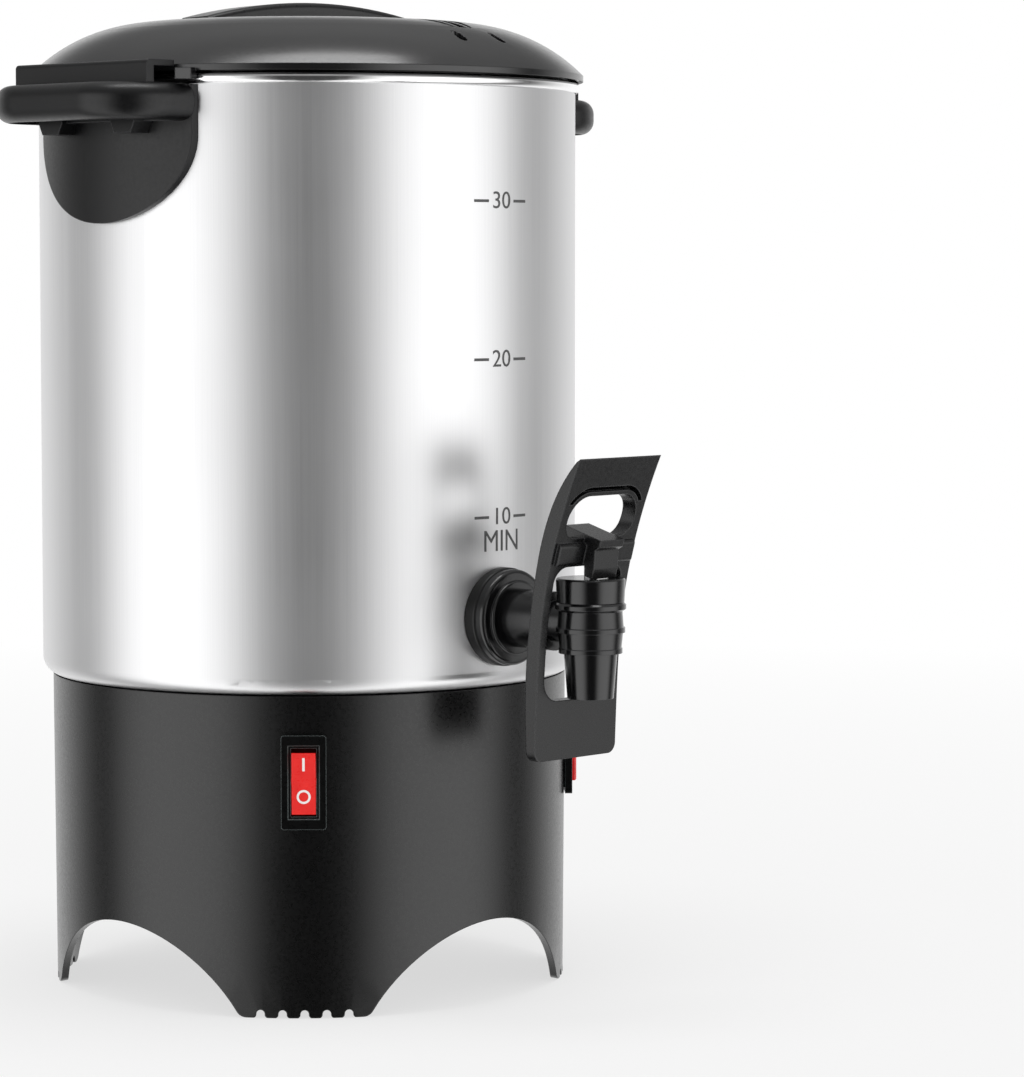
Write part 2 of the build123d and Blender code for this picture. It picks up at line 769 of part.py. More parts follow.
def make_power_inlet():
    width, height, thickness = inlet_flange_size
    face = inlet_face()
    flange = Pos(0, face, inlet_level) * Rot(-90, 0, 0) * extrude(
        RectangleRounded(width, height, inlet_flange_corner), thickness)
    body_w, body_h, body_d = inlet_body_size
    body = slab((-body_w / 2, body_w / 2), (face - body_d, face + 0.01),
                (inlet_level - body_h / 2, inlet_level + body_h / 2))
    socket_w, socket_h, socket_d = inlet_socket_size
    front = face + thickness
    socket = slab((-socket_w / 2, socket_w / 2), (front - socket_d, front + 1),
                  (inlet_level - socket_h / 2, inlet_level + socket_h / 2))
    inlet = flange + body - socket
    for x in (-inlet_screw_pitch / 2, inlet_screw_pitch / 2):
        inlet -= Pos(x, face, inlet_level) * Rot(90, 0, 0) * Cylinder(
            inlet_screw_radius + 0.1, 20)
    return inlet


def make_inlet_pins():
    front = inlet_face() + inlet_flange_size[2]
    root_y = front - inlet_socket_size[2]
    width, thickness = inlet_pin_size
    pins = []
    for x, z in ((-inlet_pin_pitch, -2), (0, 2), (inlet_pin_pitch, -2)):
        level = inlet_level + z
        pins.append(slab((x - thickness / 2, x + thickness / 2),
                         (root_y, root_y + inlet_pin_length),
                         (level - width / 2, level + width / 2)))
    return group(pins)


def make_inlet_screws():
    front = inlet_face() + inlet_flange_size[2]
    screws = []
    for x in (-inlet_screw_pitch / 2, inlet_screw_pitch / 2):
        head = Pos(x, front + inlet_screw_head_height / 2, inlet_level) * Rot(
            90, 0, 0) * Cylinder(inlet_screw_head_radius, inlet_screw_head_height)
        shaft = Pos(x, front - inlet_screw_length / 2, inlet_level) * Rot(
            90, 0, 0) * Cylinder(inlet_screw_radius, inlet_screw_length)
        screws.append(head + shaft)
    return group(screws)


# ---------------------------------------------------------------- handles
def make_handle_plate():
    """Shield-shaped plate on the tank's wall, at -X."""
    low = rim_level - handle_plate_drop
    top = rim_level - 2 * rim_bead_radius - 0.1
    half = handle_plate_half_width
    face = Pos(0, (low + handle_plate_round + top) / 2) * Rectangle(
        2 * half, top - low - handle_plate_round)
    face += Pos(0, low + handle_plate_round) * Ellipse(half, handle_plate_round)
    plate = extrude(Plane.YZ * face, -2 * tank_radius)
    shell = ring(handle_face, tank_radius + 0.02, low - 5, top)
    plate &= shell
    for y in (-handle_screw_offset, handle_screw_offset):
        plate -= slab_cylinder_x(handle_screw_radius + 0.05, -handle_screw_end(y) - 0.1,
                                 -tank_radius * 0.8, y, rim_level - handle_screw_drop)
    return plate


def make_handle_grip():
    """Finger grip with the lid's locking channel on top, at -X."""
    reach = tank_radius + grip_reach
    depth = reach - tank_radius * 0.5
    block = Pos(-reach + depth / 2, 0, grip_under + grip_thickness / 2) * Box(
        depth, 2 * grip_half_width, grip_thickness)
    corners = block.edges().filter_by(Axis.Z).group_by(Axis.X)[0]
    block = fillet(corners, grip_corner_radius)
    rims = [e for e in block.edges()
            if e.center().X < -tank_radius * 0.6 and abs(e.center().Z - grip_top) < 0.01
            or e.center().X < -tank_radius * 0.6 and abs(e.center().Z - grip_under) < 0.01]
    block = fillet(rims, grip_edge_radius)
    hollow_reach = reach - grip_wall
    hollow_depth = hollow_reach - tank_radius * 0.5
    hollow = Pos(-hollow_reach + hollow_depth / 2, 0, 0) * Box(
        hollow_depth, 2 * (grip_half_width - grip_wall), 2 * (grip_thickness - grip_top_wall))
    hollow = fillet(hollow.edges().filter_by(Axis.Z).group_by(Axis.X)[0],
                    grip_corner_radius - grip_wall)
    hollow = Pos(0, 0, grip_under) * hollow
    hollow -= disc(handle_face + grip_wall, grip_under - 20, grip_top)
    block -= hollow
    for y in (-boss_offset, boss_offset):
        block += grip_boss(y)
    block += lock_channel()
    return block - disc(handle_face, grip_under - boss_drop - 1, flange_under + 10)


def grip_boss(y):
    """Tapered stop boss under the grip."""
    half = boss_width / 2
    outline = Polyline((y - half, grip_under + grip_thickness - grip_top_wall),
                       (y - half, grip_under), (y - half + boss_drop / 2, grip_under - boss_drop),
                       (y + half - boss_drop / 2, grip_under - boss_drop), (y + half, grip_under),
                       (y + half, grip_under + grip_thickness - grip_top_wall), close=True)
    far = handle_face + boss_reach
    boss = Pos(-far, 0, 0) * extrude(Plane.YZ * make_face(outline), far - tank_radius * 0.8)
    return boss


def lock_channel():
    """Channel that the lid's lug turns into: web, flange and stop."""
    web_out = tank_radius + channel_web_reach
    web_in = web_out - channel_web
    half = channel_half_length
    top = flange_under + channel_flange_thickness
    channel = slab((-web_out, -web_in), (-half, half), (grip_top - 1, top))
    flange = slab((-web_out, -tank_radius * 0.8), (-half, half), (flange_under, top))
    flange -= disc(lid_radius + 1.4, flange_under - 1, top + 1)
    stop_angle = lug_half_angle - lug_lock_angle + lug_stop_gap
    stop_y = lug_tip_radius * math.sin(math.radians(stop_angle))
    stop = slab((-web_in - 0.5, -tank_radius * 0.8), (stop_y, stop_y + lug_stop_thickness),
                (grip_top - 1, flange_under + 1))
    stop -= disc(lid_radius + 1.4, grip_top - 2, flange_under + 2)
    body = channel + flange + stop
    outer = [e for e in body.edges().filter_by(Axis.Y)
             if abs(e.center().X + web_out) < 0.01 and abs(e.center().Z - top) < 0.01]
    return fillet(outer, channel_edge_radius)


def make_handle_screws():
    """Two screws through the tank's wall into one handle, at -X."""
    screws = []
    for y in (-handle_screw_offset, handle_screw_offset):
        level = rim_level - handle_screw_drop
        wall_x = math.sqrt(tank_inner_radius ** 2 - (abs(y) + handle_screw_head_radius) ** 2)
        head = slab_cylinder_x(handle_screw_head_radius, -wall_x + 0.05, -wall_x + 2.4, y, level)
        shaft = slab_cylinder_x(handle_screw_radius, -handle_screw_end(y), -wall_x + 1.0,
                                y, level)
        screws.append(head + shaft)
    return screws


def handle_screw_end(y):
    """Distance of a handle screw's tip off the YZ plane, inside the plate."""
    return math.sqrt(tank_radius ** 2 - y ** 2) + handle_plate_thickness - 1.0


def slab_cylinder_x(radius, low, high, y, z):
    """Cylinder along X between two X coordinates."""
    return Pos((low + high) / 2, y, z) * Rot(0, 90, 0) * Cylinder(radius, high - low)


# ---------------------------------------------------------------- lid
def lid_profile(inset):
    """The dome's two arcs, from the lid's edge to its level brim, moved inwards by a wall."""
    start = (lid_radius - inset * 0.8, lid_edge + lid_edge_height - inset * 0.6)
    shoulder = (lid_radius - lid_shoulder_setback - inset * 0.65,
                lid_edge + lid_shoulder_rise - inset * 0.76)
    haunch = (lid_radius - lid_haunch_setback - inset * 0.38,
              lid_edge + lid_haunch_rise - inset * 0.93)
    lower = ThreePointArc(start, shoulder, haunch)
    brim = (dish_radius + dish_brim, crown_level - inset)
    return lower, TangentArc(haunch, brim, tangent=lower % 1)


def make_lid_shell():
    outer = lid_profile(0)
    inner = lid_profile(lid_wall)
    top = outer[1] @ 1
    lower = inner[1] @ 1
    start_out = outer[0] @ 0
    start_in = inner[0] @ 0
    edges = [
        Line((lid_radius, lid_edge), (start_out.X, start_out.Y)),
        *outer,
        Line((top.X, top.Y), (0, top.Y)),
        Line((0, top.Y), (0, lower.Y)),
        Line((0, lower.Y), (lower.X, lower.Y)),
        *inner,
        Line((start_in.X, start_in.Y), (start_in.X, lid_edge)),
        Line((start_in.X, lid_edge), (lid_radius, lid_edge)),
    ]
    shell = turned(edges)
    dish_outer = disc(dish_radius + lid_wall, dish_floor - lid_wall, crown_level - lid_wall / 2)
    shell += dish_outer
    dish = disc(dish_radius, dish_floor, crown_level + 1)
    low_edge = dish.edges().sort_by(Axis.Z)[0]
    shell -= fillet(low_edge, dish_floor_radius)
    rim = [e for e in shell.edges().filter_by(GeomType.CIRCLE)
           if abs(e.radius - dish_radius) < 0.01 and abs(e.center().Z - crown_level) < 0.01]
    shell = fillet(rim, dish_edge_radius)
    shell += lid_plug()
    for side in (0, 180):
        shell += Rot(0, 0, side) * lid_lug()
    for x in (-lid_screw_x(), lid_screw_x()):
        shell -= Rot(0, 0, lid_grip_azimuth()) * disc(
            lid_screw_radius + 0.1, dish_floor - lid_wall - 1, dish_floor + 1, x, 0)
    return shell - lid_vents()


def lid_vents():
    """Steam vents on the tap's side: a ribbed, tapered one and two short ones."""
    end = vent_start + vent_length
    taper = Polyline((vent_start, -vent_inner_width / 2), (end, -vent_outer_width / 2),
                     (end, vent_outer_width / 2), (vent_start, vent_inner_width / 2), close=True)
    face = make_face(taper)
    face = fillet(face.vertices(), vent_corner_radius)
    rib = Pos(vent_start + vent_length / 2, 0) * Rectangle(vent_length + 2, vent_rib_width)
    for side in (-1, 1):
        face -= Pos(0, side * vent_rib_offset) * rib
    vents = [extrude(face, crown_level)]
    side = extrude(SlotOverall(side_vent_length, side_vent_width), crown_level)
    for turn in (-side_vent_angle, side_vent_angle):
        vents.append(Rot(0, 0, turn) * Pos(side_vent_circle, 0, 0) * side)
    return [Rot(0, 0, vent_azimuth) * vent for vent in vents]


def lid_grip_azimuth():
    """Direction of the grip while the lid is unlocked, turned back from its locked place."""
    return lid_grip_locked_azimuth + lug_rest_angle - lug_lock_angle


def lid_screw_x():
    """Screws of the lid's grip stand in the middle of its posts."""
    return dish_radius - lid_grip_post_inset - lid_grip_post / 2


def lid_plug():
    """Ring under the lid that holds the gasket inside the tank's mouth."""
    outer = tank_inner_radius - plug_clearance
    low = lid_edge - plug_depth
    roof = lid_edge + lid_shoulder_rise - lid_wall
    wall = ring(outer, outer - plug_wall, low, roof)
    gasket_low = low + plug_flange_height + gasket_play
    shoulder_low = gasket_low + gasket_height + gasket_play
    shoulder = ring(outer + plug_flange_width + 1, outer - 1, shoulder_low, lid_edge + 3)
    flange = ring(outer + plug_flange_width, outer - 1, low, low + plug_flange_height)
    return ((wall + shoulder) & lid_envelope()) + flange


def lid_envelope():
    """Everything under the lid's outer skin."""
    outer = lid_profile(lid_wall / 2)
    top = outer[1] @ 1
    start = outer[0] @ 0
    low = lid_edge - plug_depth - 5
    edges = [
        Line((start.X, low), (start.X, start.Y)),
        *outer,
        Line((top.X, top.Y), (0, top.Y)),
        Line((0, top.Y), (0, low)),
        Line((0, low), (start.X, low)),
    ]
    return turned(edges)


def lid_lug():
    """Locking lug on the lid's edge, at -X, standing just outside the channel's mouth."""
    bead_clear = tank_radius + rim_bead_overhang + 0.6
    sector = ring(lug_tip_radius, bead_clear, lug_low, lug_high)
    reach = lug_tip_radius + 10
    wedge_half = reach * math.tan(math.radians(lug_half_angle))
    wedge = extrude(make_face(Polyline((0, 0), (-reach, wedge_half), (-reach, -wedge_half),
                                       close=True)), rim_level + 50)
    lug = sector & wedge
    return Rot(0, 0, lug_rest_angle) * lug


def make_lid_gasket():
    low = lid_edge - plug_depth + plug_flange_height + gasket_play
    outer = tank_inner_radius - loose_gap
    inner = tank_inner_radius - plug_clearance + gasket_play
    return ring(outer, inner, low, low + gasket_height)


def make_lid_grip():
    """Arched bar across the lid's dish."""
    half = dish_radius
    peak = crown_level + lid_grip_rise
    end_top = crown_level + lid_grip_end_rise
    under_half = lid_screw_x() + lid_grip_post / 2
    under_end = end_top - lid_grip_thickness * 0.6
    outline = [
        ThreePointArc((-half, end_top), (0, peak), (half, end_top)),
        Line((half, end_top), (half, under_end)),
        Line((half, under_end), (under_half, under_end)),
        ThreePointArc((under_half, under_end), (0, peak - lid_grip_thickness),
                      (-under_half, under_end)),
        Line((-under_half, under_end), (-half, under_end)),
        Line((-half, under_end), (-half, end_top)),
    ]
    face = make_face([Plane.XZ * edge for edge in outline])
    bar = extrude(face, lid_grip_width / 2, both=True)
    top_edges = [e for e in bar.edges() if e.geom_type == GeomType.CIRCLE
                 and (e @ 0.5).Z > peak - 1 and abs((e @ 0.5).Y) > 1]
    bar = fillet(top_edges, lid_grip_edge_radius)
    bar &= disc(dish_radius - dish_edge_radius - 0.05, dish_floor, peak + 5)
    for x in (-lid_screw_x(), lid_screw_x()):
        bar += slab((x - lid_grip_post / 2, x + lid_grip_post / 2),
                    (-lid_grip_post_length / 2, lid_grip_post_length / 2),
                    (dish_floor, under_end + 1.5))
    for x in (-lid_screw_x(), lid_screw_x()):
        bar -= disc(lid_screw_radius, dish_floor - 1,
                    dish_floor - lid_wall + lid_screw_length, x, 0)
    return Rot(0, 0, lid_grip_azimuth()) * bar


def make_lid_screws():
    under = dish_floor - lid_wall
    screws = []
    for x in (-lid_screw_x(), lid_screw_x()):
        head = disc(lid_screw_head_radius, under - lid_screw_head_height, under, x, 0)
        shaft = disc(lid_screw_radius, under - 0.5, under + lid_screw_length - 0.1, x, 0)
        screws.append(head + shaft)
    return group(screws, lid_grip_azimuth())


# ---------------------------------------------------------------- percolator
def well_bottom():
    return floor_top - well_depth + well_wall


def make_pump_tube():
    low = well_bottom() + pump_base_height
    tube = ring(pump_tube_radius, pump_tube_radius - pump_tube_wall, low - pump_base_wall,
                pump_tube_top)
    collar = ring(stop_collar_radius, pump_tube_radius - pump_tube_wall / 2,
                  basket_level - stop_collar_height, basket_level)
    return tube + collar


def make_pump_base():
    low = well_bottom()
    top = low + pump_base_height
    base = disc(pump_base_radius, low, top)
    base = fillet(base.edges().sort_by(Axis.Z)[-1], 6.0)
    hollow = disc(pump_base_radius - pump_base_wall, low - 1, top - pump_base_wall)
    hollow = fillet(hollow.edges().sort_by(Axis.Z)[-1], 5.0)
    base -= hollow
    base -= disc(pump_tube_radius, low, top + 1)
    for x, y in polar(pump_base_radius, 4, 45):
        base -= Pos(x, y, low) * Cylinder(3.0, 6.0)
    return base


def make_pump_washer():
    """Floating valve disc inside the pump's base."""
    low = well_bottom() + pump_base_height - pump_base_wall - washer_thickness - washer_lift - 2
    return disc(washer_radius, low, low + washer_thickness)


def make_washer_cage():
    """Three-legged seat that the valve disc drops on."""
    washer_low = well_bottom() + pump_base_height - pump_base_wall - washer_thickness
    washer_low -= washer_lift + 2
    cage = ring(washer_radius + 1.6, washer_radius - 2.0, washer_low - 1.2, washer_low)
    for x, y in polar(washer_radius + 0.9, 3, 90):
        cage += disc(0.9, washer_low - 1.2, well_bottom() + pump_base_height - pump_base_wall, x, y)
    return cage


def make_basket():
    low = basket_level
    top = low + basket_height
    basket = disc(basket_radius, low, top)
    basket -= disc(basket_radius - basket_wall, low + basket_wall, top + 1)
    basket += disc(basket_sleeve_radius, low, top - 8)
    for radius in basket_hole_rings:
        count = int(2 * math.pi * radius / basket_hole_spacing)
        for x, y in polar(radius, count):
            basket -= disc(basket_hole_radius, low - 1, low + 2, x, y)
    return basket - disc(pump_tube_radius + sleeve_clearance, low - 1, top + 1)


def make_basket_cover():
    low = basket_level + basket_height
    cover = disc(basket_radius + 1.0, low, low + basket_wall)
    cover += ring(basket_radius - basket_wall - 0.3, basket_radius - 2 * basket_wall - 0.3,
                  low - spreader_lip, low)
    for radius in basket_hole_rings:
        count = int(2 * math.pi * radius / basket_hole_spacing)
        for x, y in polar(radius, count):
            cover -= disc(basket_hole_radius, low - 1, low + 2, x, y)
    return cover - disc(pump_tube_radius + sleeve_clearance, low - 5, low + 5)


# ---------------------------------------------------------------- tap
def make_tap_outer_gasket():
    front = tank_radius + outer_gasket_front
    seal = outward(outer_gasket_radius, tank_radius - 5, front, tap_height)
    seal = fillet(seal.edges().filter_by(GeomType.CIRCLE).sort_by(Axis.Y)[0], 0.9)
    seal -= disc(tank_radius + 0.02, tap_height - 30, tap_height + 30)
    return seal - outward(shank_thread_radius + 0.05, 0, front + 5, tap_height)


def make_tap_inner_gasket():
    seal = outward(inner_gasket_radius, inner_seal_face(), tank_radius, tap_height)
    seal &= disc(tank_inner_radius - 0.02, tap_height - 30, tap_height + 30)
    return seal - outward(shank_thread_radius + 0.05, 0, tank_radius, tap_height)


def inner_seal_face():
    """Flat inner face of the inner gasket, off the urn's axis."""
    return tank_inner_radius - inner_gasket_thickness


def make_tap_nut():
    face = inner_seal_face()
    nut = hex_nut(tap_nut_across_flats, shank_thread_radius + 0.02, tap_nut_height)
    return Pos(0, -face, tap_height) * Rot(-90, 0, 0) * nut


def make_tap_flange():
    back = tank_radius + outer_gasket_front
    plate = outward(flange_radius, back, back + flange_thickness, tap_height)
    rim = plate.edges().filter_by(GeomType.CIRCLE).sort_by(Axis.Y)[0]
    plate = fillet(rim, 1.6)
    step = outward(flange_step_radius, back, back + flange_thickness + flange_step, tap_height)
    step = fillet(step.edges().filter_by(GeomType.CIRCLE).sort_by(Axis.Y)[0], 0.8)
    return plate + step - outward(shank_thread_radius + 0.05, 0, back + 20, tap_height)


def make_tap_body():
    collar_start = tank_radius + outer_gasket_front + flange_thickness + flange_step
    thread_start = tank_radius - shank_inner_length
    body = outward(shank_thread_radius, thread_start, collar_start + 1, tap_height)
    body += outward(collar_radius, collar_start, tank_radius + collar_length, tap_height)
    body += outward(neck_radius, collar_start, valve_reach, tap_height)
    axis_y = -valve_reach
    low_ring = tap_height - ring_low_drop
    mid_ring = tap_height - ring_mid_drop
    top = tap_height + body_top_rise
    profile = [
        (0, spout_tip), (spout_tip_radius, spout_tip),
        (spout_top_radius, low_ring - ring_height / 2),
        (ring_low_radius, low_ring - ring_height / 2),
        (ring_low_radius, low_ring + ring_height / 2),
        (ring_low_radius - 0.3, low_ring + ring_height / 2),
        (ring_mid_radius - 0.7, mid_ring - ring_height / 2),
        (ring_mid_radius, mid_ring - ring_height / 2),
        (ring_mid_radius, mid_ring + ring_height / 2),
        (ring_mid_radius - 0.5, mid_ring + ring_height / 2),
        (body_lip_radius - 1.2, top - body_lip_height),
        (body_lip_radius, top - body_lip_height + 0.8),
        (body_lip_radius, top - 0.8), (body_lip_radius - 0.8, top), (0, top),
    ]
    valve = revolve(make_face(Plane.XZ * Polyline(*profile, close=True)), Axis.Z)
    body += Pos(0, axis_y, 0) * valve
    body -= disc(chamber_radius, seat_level, top + 1, 0, axis_y)
    body -= disc(spout_bore_radius, spout_tip - 1, seat_level + 1, 0, axis_y)
    return body - outward(shank_bore_radius, thread_start - 1, valve_reach, tap_height)


def make_tap_bonnet():
    low = tap_height + body_top_rise
    height = bonnet_top - low
    cap = Pos(0, 0, low + height / 2) * Cone(bonnet_foot_radius, bonnet_radius, height)
    cap = fillet(cap.edges().sort_by(Axis.Z)[-1], 0.8)
    cap += disc(chamber_radius - 0.05, low - 4, low + 1)
    cap -= disc(chamber_radius - bonnet_wall, low - 5, bonnet_top - bonnet_roof)
    cap -= disc(stem_radius + stem_clearance, low, bonnet_top + 5)
    return Pos(0, -valve_reach, 0) * cap


def seat_cup_level():
    """Underside of the seat cup while the tap stands open."""
    return seat_level + 0.1 + stem_travel


def make_tap_stem():
    low = seat_cup_level() + 1.5
    stem = disc(stem_radius, low, pin_level)
    stem = Pos(0, -valve_reach, 0) * stem
    eye = across(stem_radius + 0.6, stem_eye_width, -valve_reach, pin_level)
    neck = Pos(0, -valve_reach, 0) * disc(stem_radius, low, bonnet_top + heel_depth)
    flats = Pos(0, -valve_reach, pin_level) * Box(stem_eye_width, 10, 8)
    stem = (stem & flats) + neck + eye
    stem += Pos(0, -valve_reach, 0) * disc(stem_radius + 1.6, low, low + 1.2)
    return stem - across(lever_pin_radius + lever_pin_clearance, 20, -valve_reach, pin_level)


def make_seat_cup():
    low = seat_cup_level()
    cup = disc(seat_cup_radius, low, low + seat_cup_height)
    cup = fillet(cup.edges().sort_by(Axis.Z)[0], 1.5)
    cup -= disc(stem_radius + 1.6, low + 1.5, low + seat_cup_height + 1)
    return Pos(0, -valve_reach, 0) * cup


def make_tap_spring():
    """Coil that pushes the seat cup down, between the cup and the bonnet's roof."""
    low = seat_cup_level() + seat_cup_height + loose_gap
    high = bonnet_top - bonnet_roof - loose_gap
    pitch = (high - low - 2 * tap_spring_wire) / tap_spring_turns
    path = Helix(pitch, pitch * tap_spring_turns, tap_spring_radius)
    section = Plane(path @ 0, z_dir=path % 0) * Circle(tap_spring_wire)
    coil = sweep(section, path, is_frenet=True)
    return Pos(0, -valve_reach, low + tap_spring_wire) * coil


def make_lever_pin():
    half = head_width / 2
    return across(lever_pin_radius, 2 * half, -valve_reach, pin_level)


def lever_back_line():
    """Side view of the lever's back, as (outward from the valve's axis, level)."""
    return [(lever_top_reach, tap_height + lever_top_rise),
            (lever_shoulder_reach, tap_height + lever_shoulder_rise),
            (-lever_waist_setback, tap_height + lever_waist_rise),
            (-lever_low_setback, tap_height - lever_low_drop),
            (-lever_foot_setback, tap_height - lever_bottom_drop)]


def make_lever_frame():
    """Curved frame around the valve: top bar, two rails and the cup panel."""
    back = lever_back_line()
    front = [(back[0][0] + lever_top_thickness * 0.5, back[0][1] + lever_top_thickness * 0.3),
             (back[1][0] + lever_thickness, back[1][1] - 1.5),
             (back[2][0] + lever_thickness, back[2][1] - 1.0),
             (back[3][0] + lever_thickness, back[3][1]),
             (back[4][0] + lever_thickness * 0.7, back[4][1])]
    back_curve = Spline(*back)
    front_curve = Spline(*front)
    edges = [back_curve, front_curve, Line(back[0], front[0]), Line(back[4], front[4])]
    side = Plane(origin=(0, -valve_reach, 0), x_dir=(0, -1, 0), z_dir=(-1, 0, 0))
    side_face = make_face([side * edge for edge in edges])
    frame = extrude(side_face, lever_half_width, both=True)
    groove = lever_groove() & (Pos(0, -lever_groove_floor, 0) * frame)
    return (frame & lever_front_view()) - groove


def lever_front_view():
    """Front outline of the lever with its openings, pushed through along Y."""
    low = tap_height - lever_bottom_drop
    high = tap_height + lever_top_rise + 5
    half = lever_half_width
    face = Pos(0, (low + high) / 2) * Rectangle(2 * half, high - low)
    face = fillet(face.vertices().group_by(Axis.Y)[0], lever_corner_radius)
    inner = half - lever_rail_width
    panel_top = low + lever_panel_height
    bar_low = tap_height + lever_top_rise - lever_bar_height
    bar_under = pin_level - lever_crossbar_height / 2
    bar_over = pin_level + lever_crossbar_height / 2
    lower = Pos(0, (panel_top + bar_under) / 2) * Rectangle(2 * inner, bar_under - panel_top)
    lower = fillet(lower.vertices().group_by(Axis.Y)[0], lever_panel_corner)
    lower = fillet(lower.vertices().group_by(Axis.Y)[-1], lever_web_corner)
    upper = Pos(0, (bar_over + bar_low) / 2) * Rectangle(2 * inner, bar_low - bar_over)
    upper = fillet(upper.vertices().group_by(Axis.Y)[-1], lever_opening_corner)
    upper = fillet(upper.vertices().group_by(Axis.Y)[0], lever_web_corner)
    face = face - lower - upper
    return Pos(0, -valve_reach, 0) * extrude(Plane.XZ * face, 30, both=True)


def lever_groove():
    """Groove that follows the finger opening's upper edge, pushed through along Y."""
    bar_low = tap_height + lever_top_rise - lever_bar_height
    band = arched_face(lever_groove_start + lever_groove_width, bar_low)
    band -= arched_face(lever_groove_start, bar_low)
    return Pos(0, -valve_reach, 0) * extrude(Plane.XZ * band, 30, both=True)


def arched_face(grow, bar_low):
    """Top of the finger opening, grown on all sides and cut off level a little below."""
    inner = lever_half_width - lever_rail_width + grow
    low = bar_low - lever_opening_corner - grow
    face = Pos(0, (low + bar_low + grow) / 2) * Rectangle(2 * inner, bar_low + grow - low)
    face = fillet(face.vertices().group_by(Axis.Y)[-1], lever_opening_corner + grow - 0.01)
    keep_low = bar_low - lever_groove_reach
    keep = Pos(0, (keep_low + bar_low + grow) / 2) * Rectangle(
        2 * inner + 2, bar_low + grow - keep_low)
    return face & keep


def make_lever_head():
    """Cam head about the pin, level; its heels rock on the bonnet."""
    half = head_length / 2
    plate_low = head_top - head_plate
    heel_in = heel_reach - heel_width
    outline = Polyline((-half, head_top), (half, head_top), (half, plate_low),
                       (heel_reach - 1.2, plate_low - 1.6), (heel_reach, -heel_depth + 3.4),
                       (heel_reach, -heel_depth), (heel_in, -heel_depth),
                       (heel_in - 0.8, -heel_depth + 3.2), (-heel_in + 0.8, -heel_depth + 3.2),
                       (-heel_in, -heel_depth), (-heel_reach, -heel_depth),
                       (-heel_reach, -heel_depth + 3.4), (-heel_reach + 1.2, plate_low - 1.6),
                       (-half, plate_low), close=True)
    return extrude(Plane.YZ * make_face(outline), head_width / 2, both=True)


def lever_head_cuts():
    """Room in the head for the stem's eye and the pin, about the pin."""
    plate_low = head_top - head_plate
    slot_half = stem_eye_width / 2 + head_slot_clearance
    slot = slab((-slot_half, slot_half), (-stem_radius - 2.6, stem_radius + 2.6),
                (-heel_depth - 1, plate_low - 0.6))
    room = stem_radius + 0.6
    stem_room = slab((-room, room), (-room - 2.0, room + 2.0), (-heel_depth - 1, -stem_radius + 0.3))
    return slot + stem_room + Rot(0, 90, 0) * Cylinder(lever_pin_radius, head_width)


def make_lever_crossbar():
    """Bar along the pin's line that joins the head to both rails."""
    half = lever_half_width - lever_rail_width / 2
    bar = Box(2 * half, lever_crossbar_depth, lever_crossbar_height * 0.8)
    return fillet(bar.edges().filter_by(Axis.X), 1.2)


def make_tap_lever():
    pin = Pos(0, -valve_reach, pin_level)
    tilt = Rot(lever_open_angle, 0, 0)
    lever = pin * tilt * (make_lever_head() + make_lever_crossbar()) + make_lever_frame()
    return lever - pin * tilt * lever_head_cuts()


# ---------------------------------------------------------------- nodes
def half_turn(shape):
    """The same piece on the urn's other side."""
    return Rot(0, 0, 180) * shape


def handle_nodes():
    """The two handles and all their screws."""
    plate = make_handle_plate()
    grip = make_handle_grip()
    screws = make_handle_screws()
    both = screws + [half_turn(screw) for screw in screws]
    return {
        "handle_plate_left": plate,
        "handle_grip_left": grip,
        "handle_plate_right": half_turn(plate),
        "handle_grip_right": half_turn(grip),
        "handle_screws": group(both),
    }


def all_nodes():
    """Every piece of the urn by its name."""
    nodes = {
        "tank_shell": make_tank_shell(),
        "heating_well": make_heating_well(),
        "heating_element": make_heating_element(),
        "heater_clamp_plate": make_heater_clamp_plate(),
        "tie_rods": make_tie_rods(),
        "heater_nuts": make_nuts(clamp_level() - clamp_thickness),
        "base_nuts": make_nuts(cover_level),
        "thermostat": make_thermostat(),
        "thermostat_strap": make_thermostat_strap(),
        "thermal_fuse": make_thermal_fuse(),
        "fuse_strap": make_fuse_strap(),
        "terminal_block": make_terminal_block(),
        "terminal_screws": make_terminal_screws(),
        "base_shell": make_base_shell(),
        "bottom_cover": make_bottom_cover(),
        "switch_housing": make_switch_housing(),
        "switch_rocker": make_switch_rocker(),
        "switch_terminals": make_switch_terminals(),
        "lamp_housing": make_lamp_housing(),
        "lamp_lens": make_lamp_lens(),
        "lamp_bulb": make_lamp_bulb(),
        "lamp_terminals": make_lamp_terminals(),
        "power_inlet": make_power_inlet(),
        "inlet_pins": make_inlet_pins(),
        "inlet_screws": make_inlet_screws(),
        "lid_shell": make_lid_shell(),
        "lid_grip": make_lid_grip(),
        "lid_screws": make_lid_screws(),
        "lid_gasket": make_lid_gasket(),
        "pump_tube": make_pump_tube(),
        "pump_base": make_pump_base(),
        "pump_washer": make_pump_washer(),
        "washer_cage": make_washer_cage(),
        "basket": make_basket(),
        "basket_cover": make_basket_cover(),
        "tap_outer_gasket": make_tap_outer_gasket(),
        "tap_inner_gasket": make_tap_inner_gasket(),
        "tap_nut": make_tap_nut(),
        "tap_flange": make_tap_flange(),
        "tap_body": make_tap_body(),
        "tap_bonnet": make_tap_bonnet(),
        "tap_stem": make_tap_stem(),
        "tap_seat_cup": make_seat_cup(),
        "tap_spring": make_tap_spring(),
        "lever_pin": make_lever_pin(),
        "tap_lever": make_tap_lever(),
    }
    nodes.update(handle_nodes())
    return nodes


os.makedirs("parts", exist_ok=True)
for name, shape in all_nodes().items():
    export_step(shape, f"parts/{name}.step")
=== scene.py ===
"""Looks of the coffee urn: materials, printed marks, small trim, studio and camera."""

import json
import math

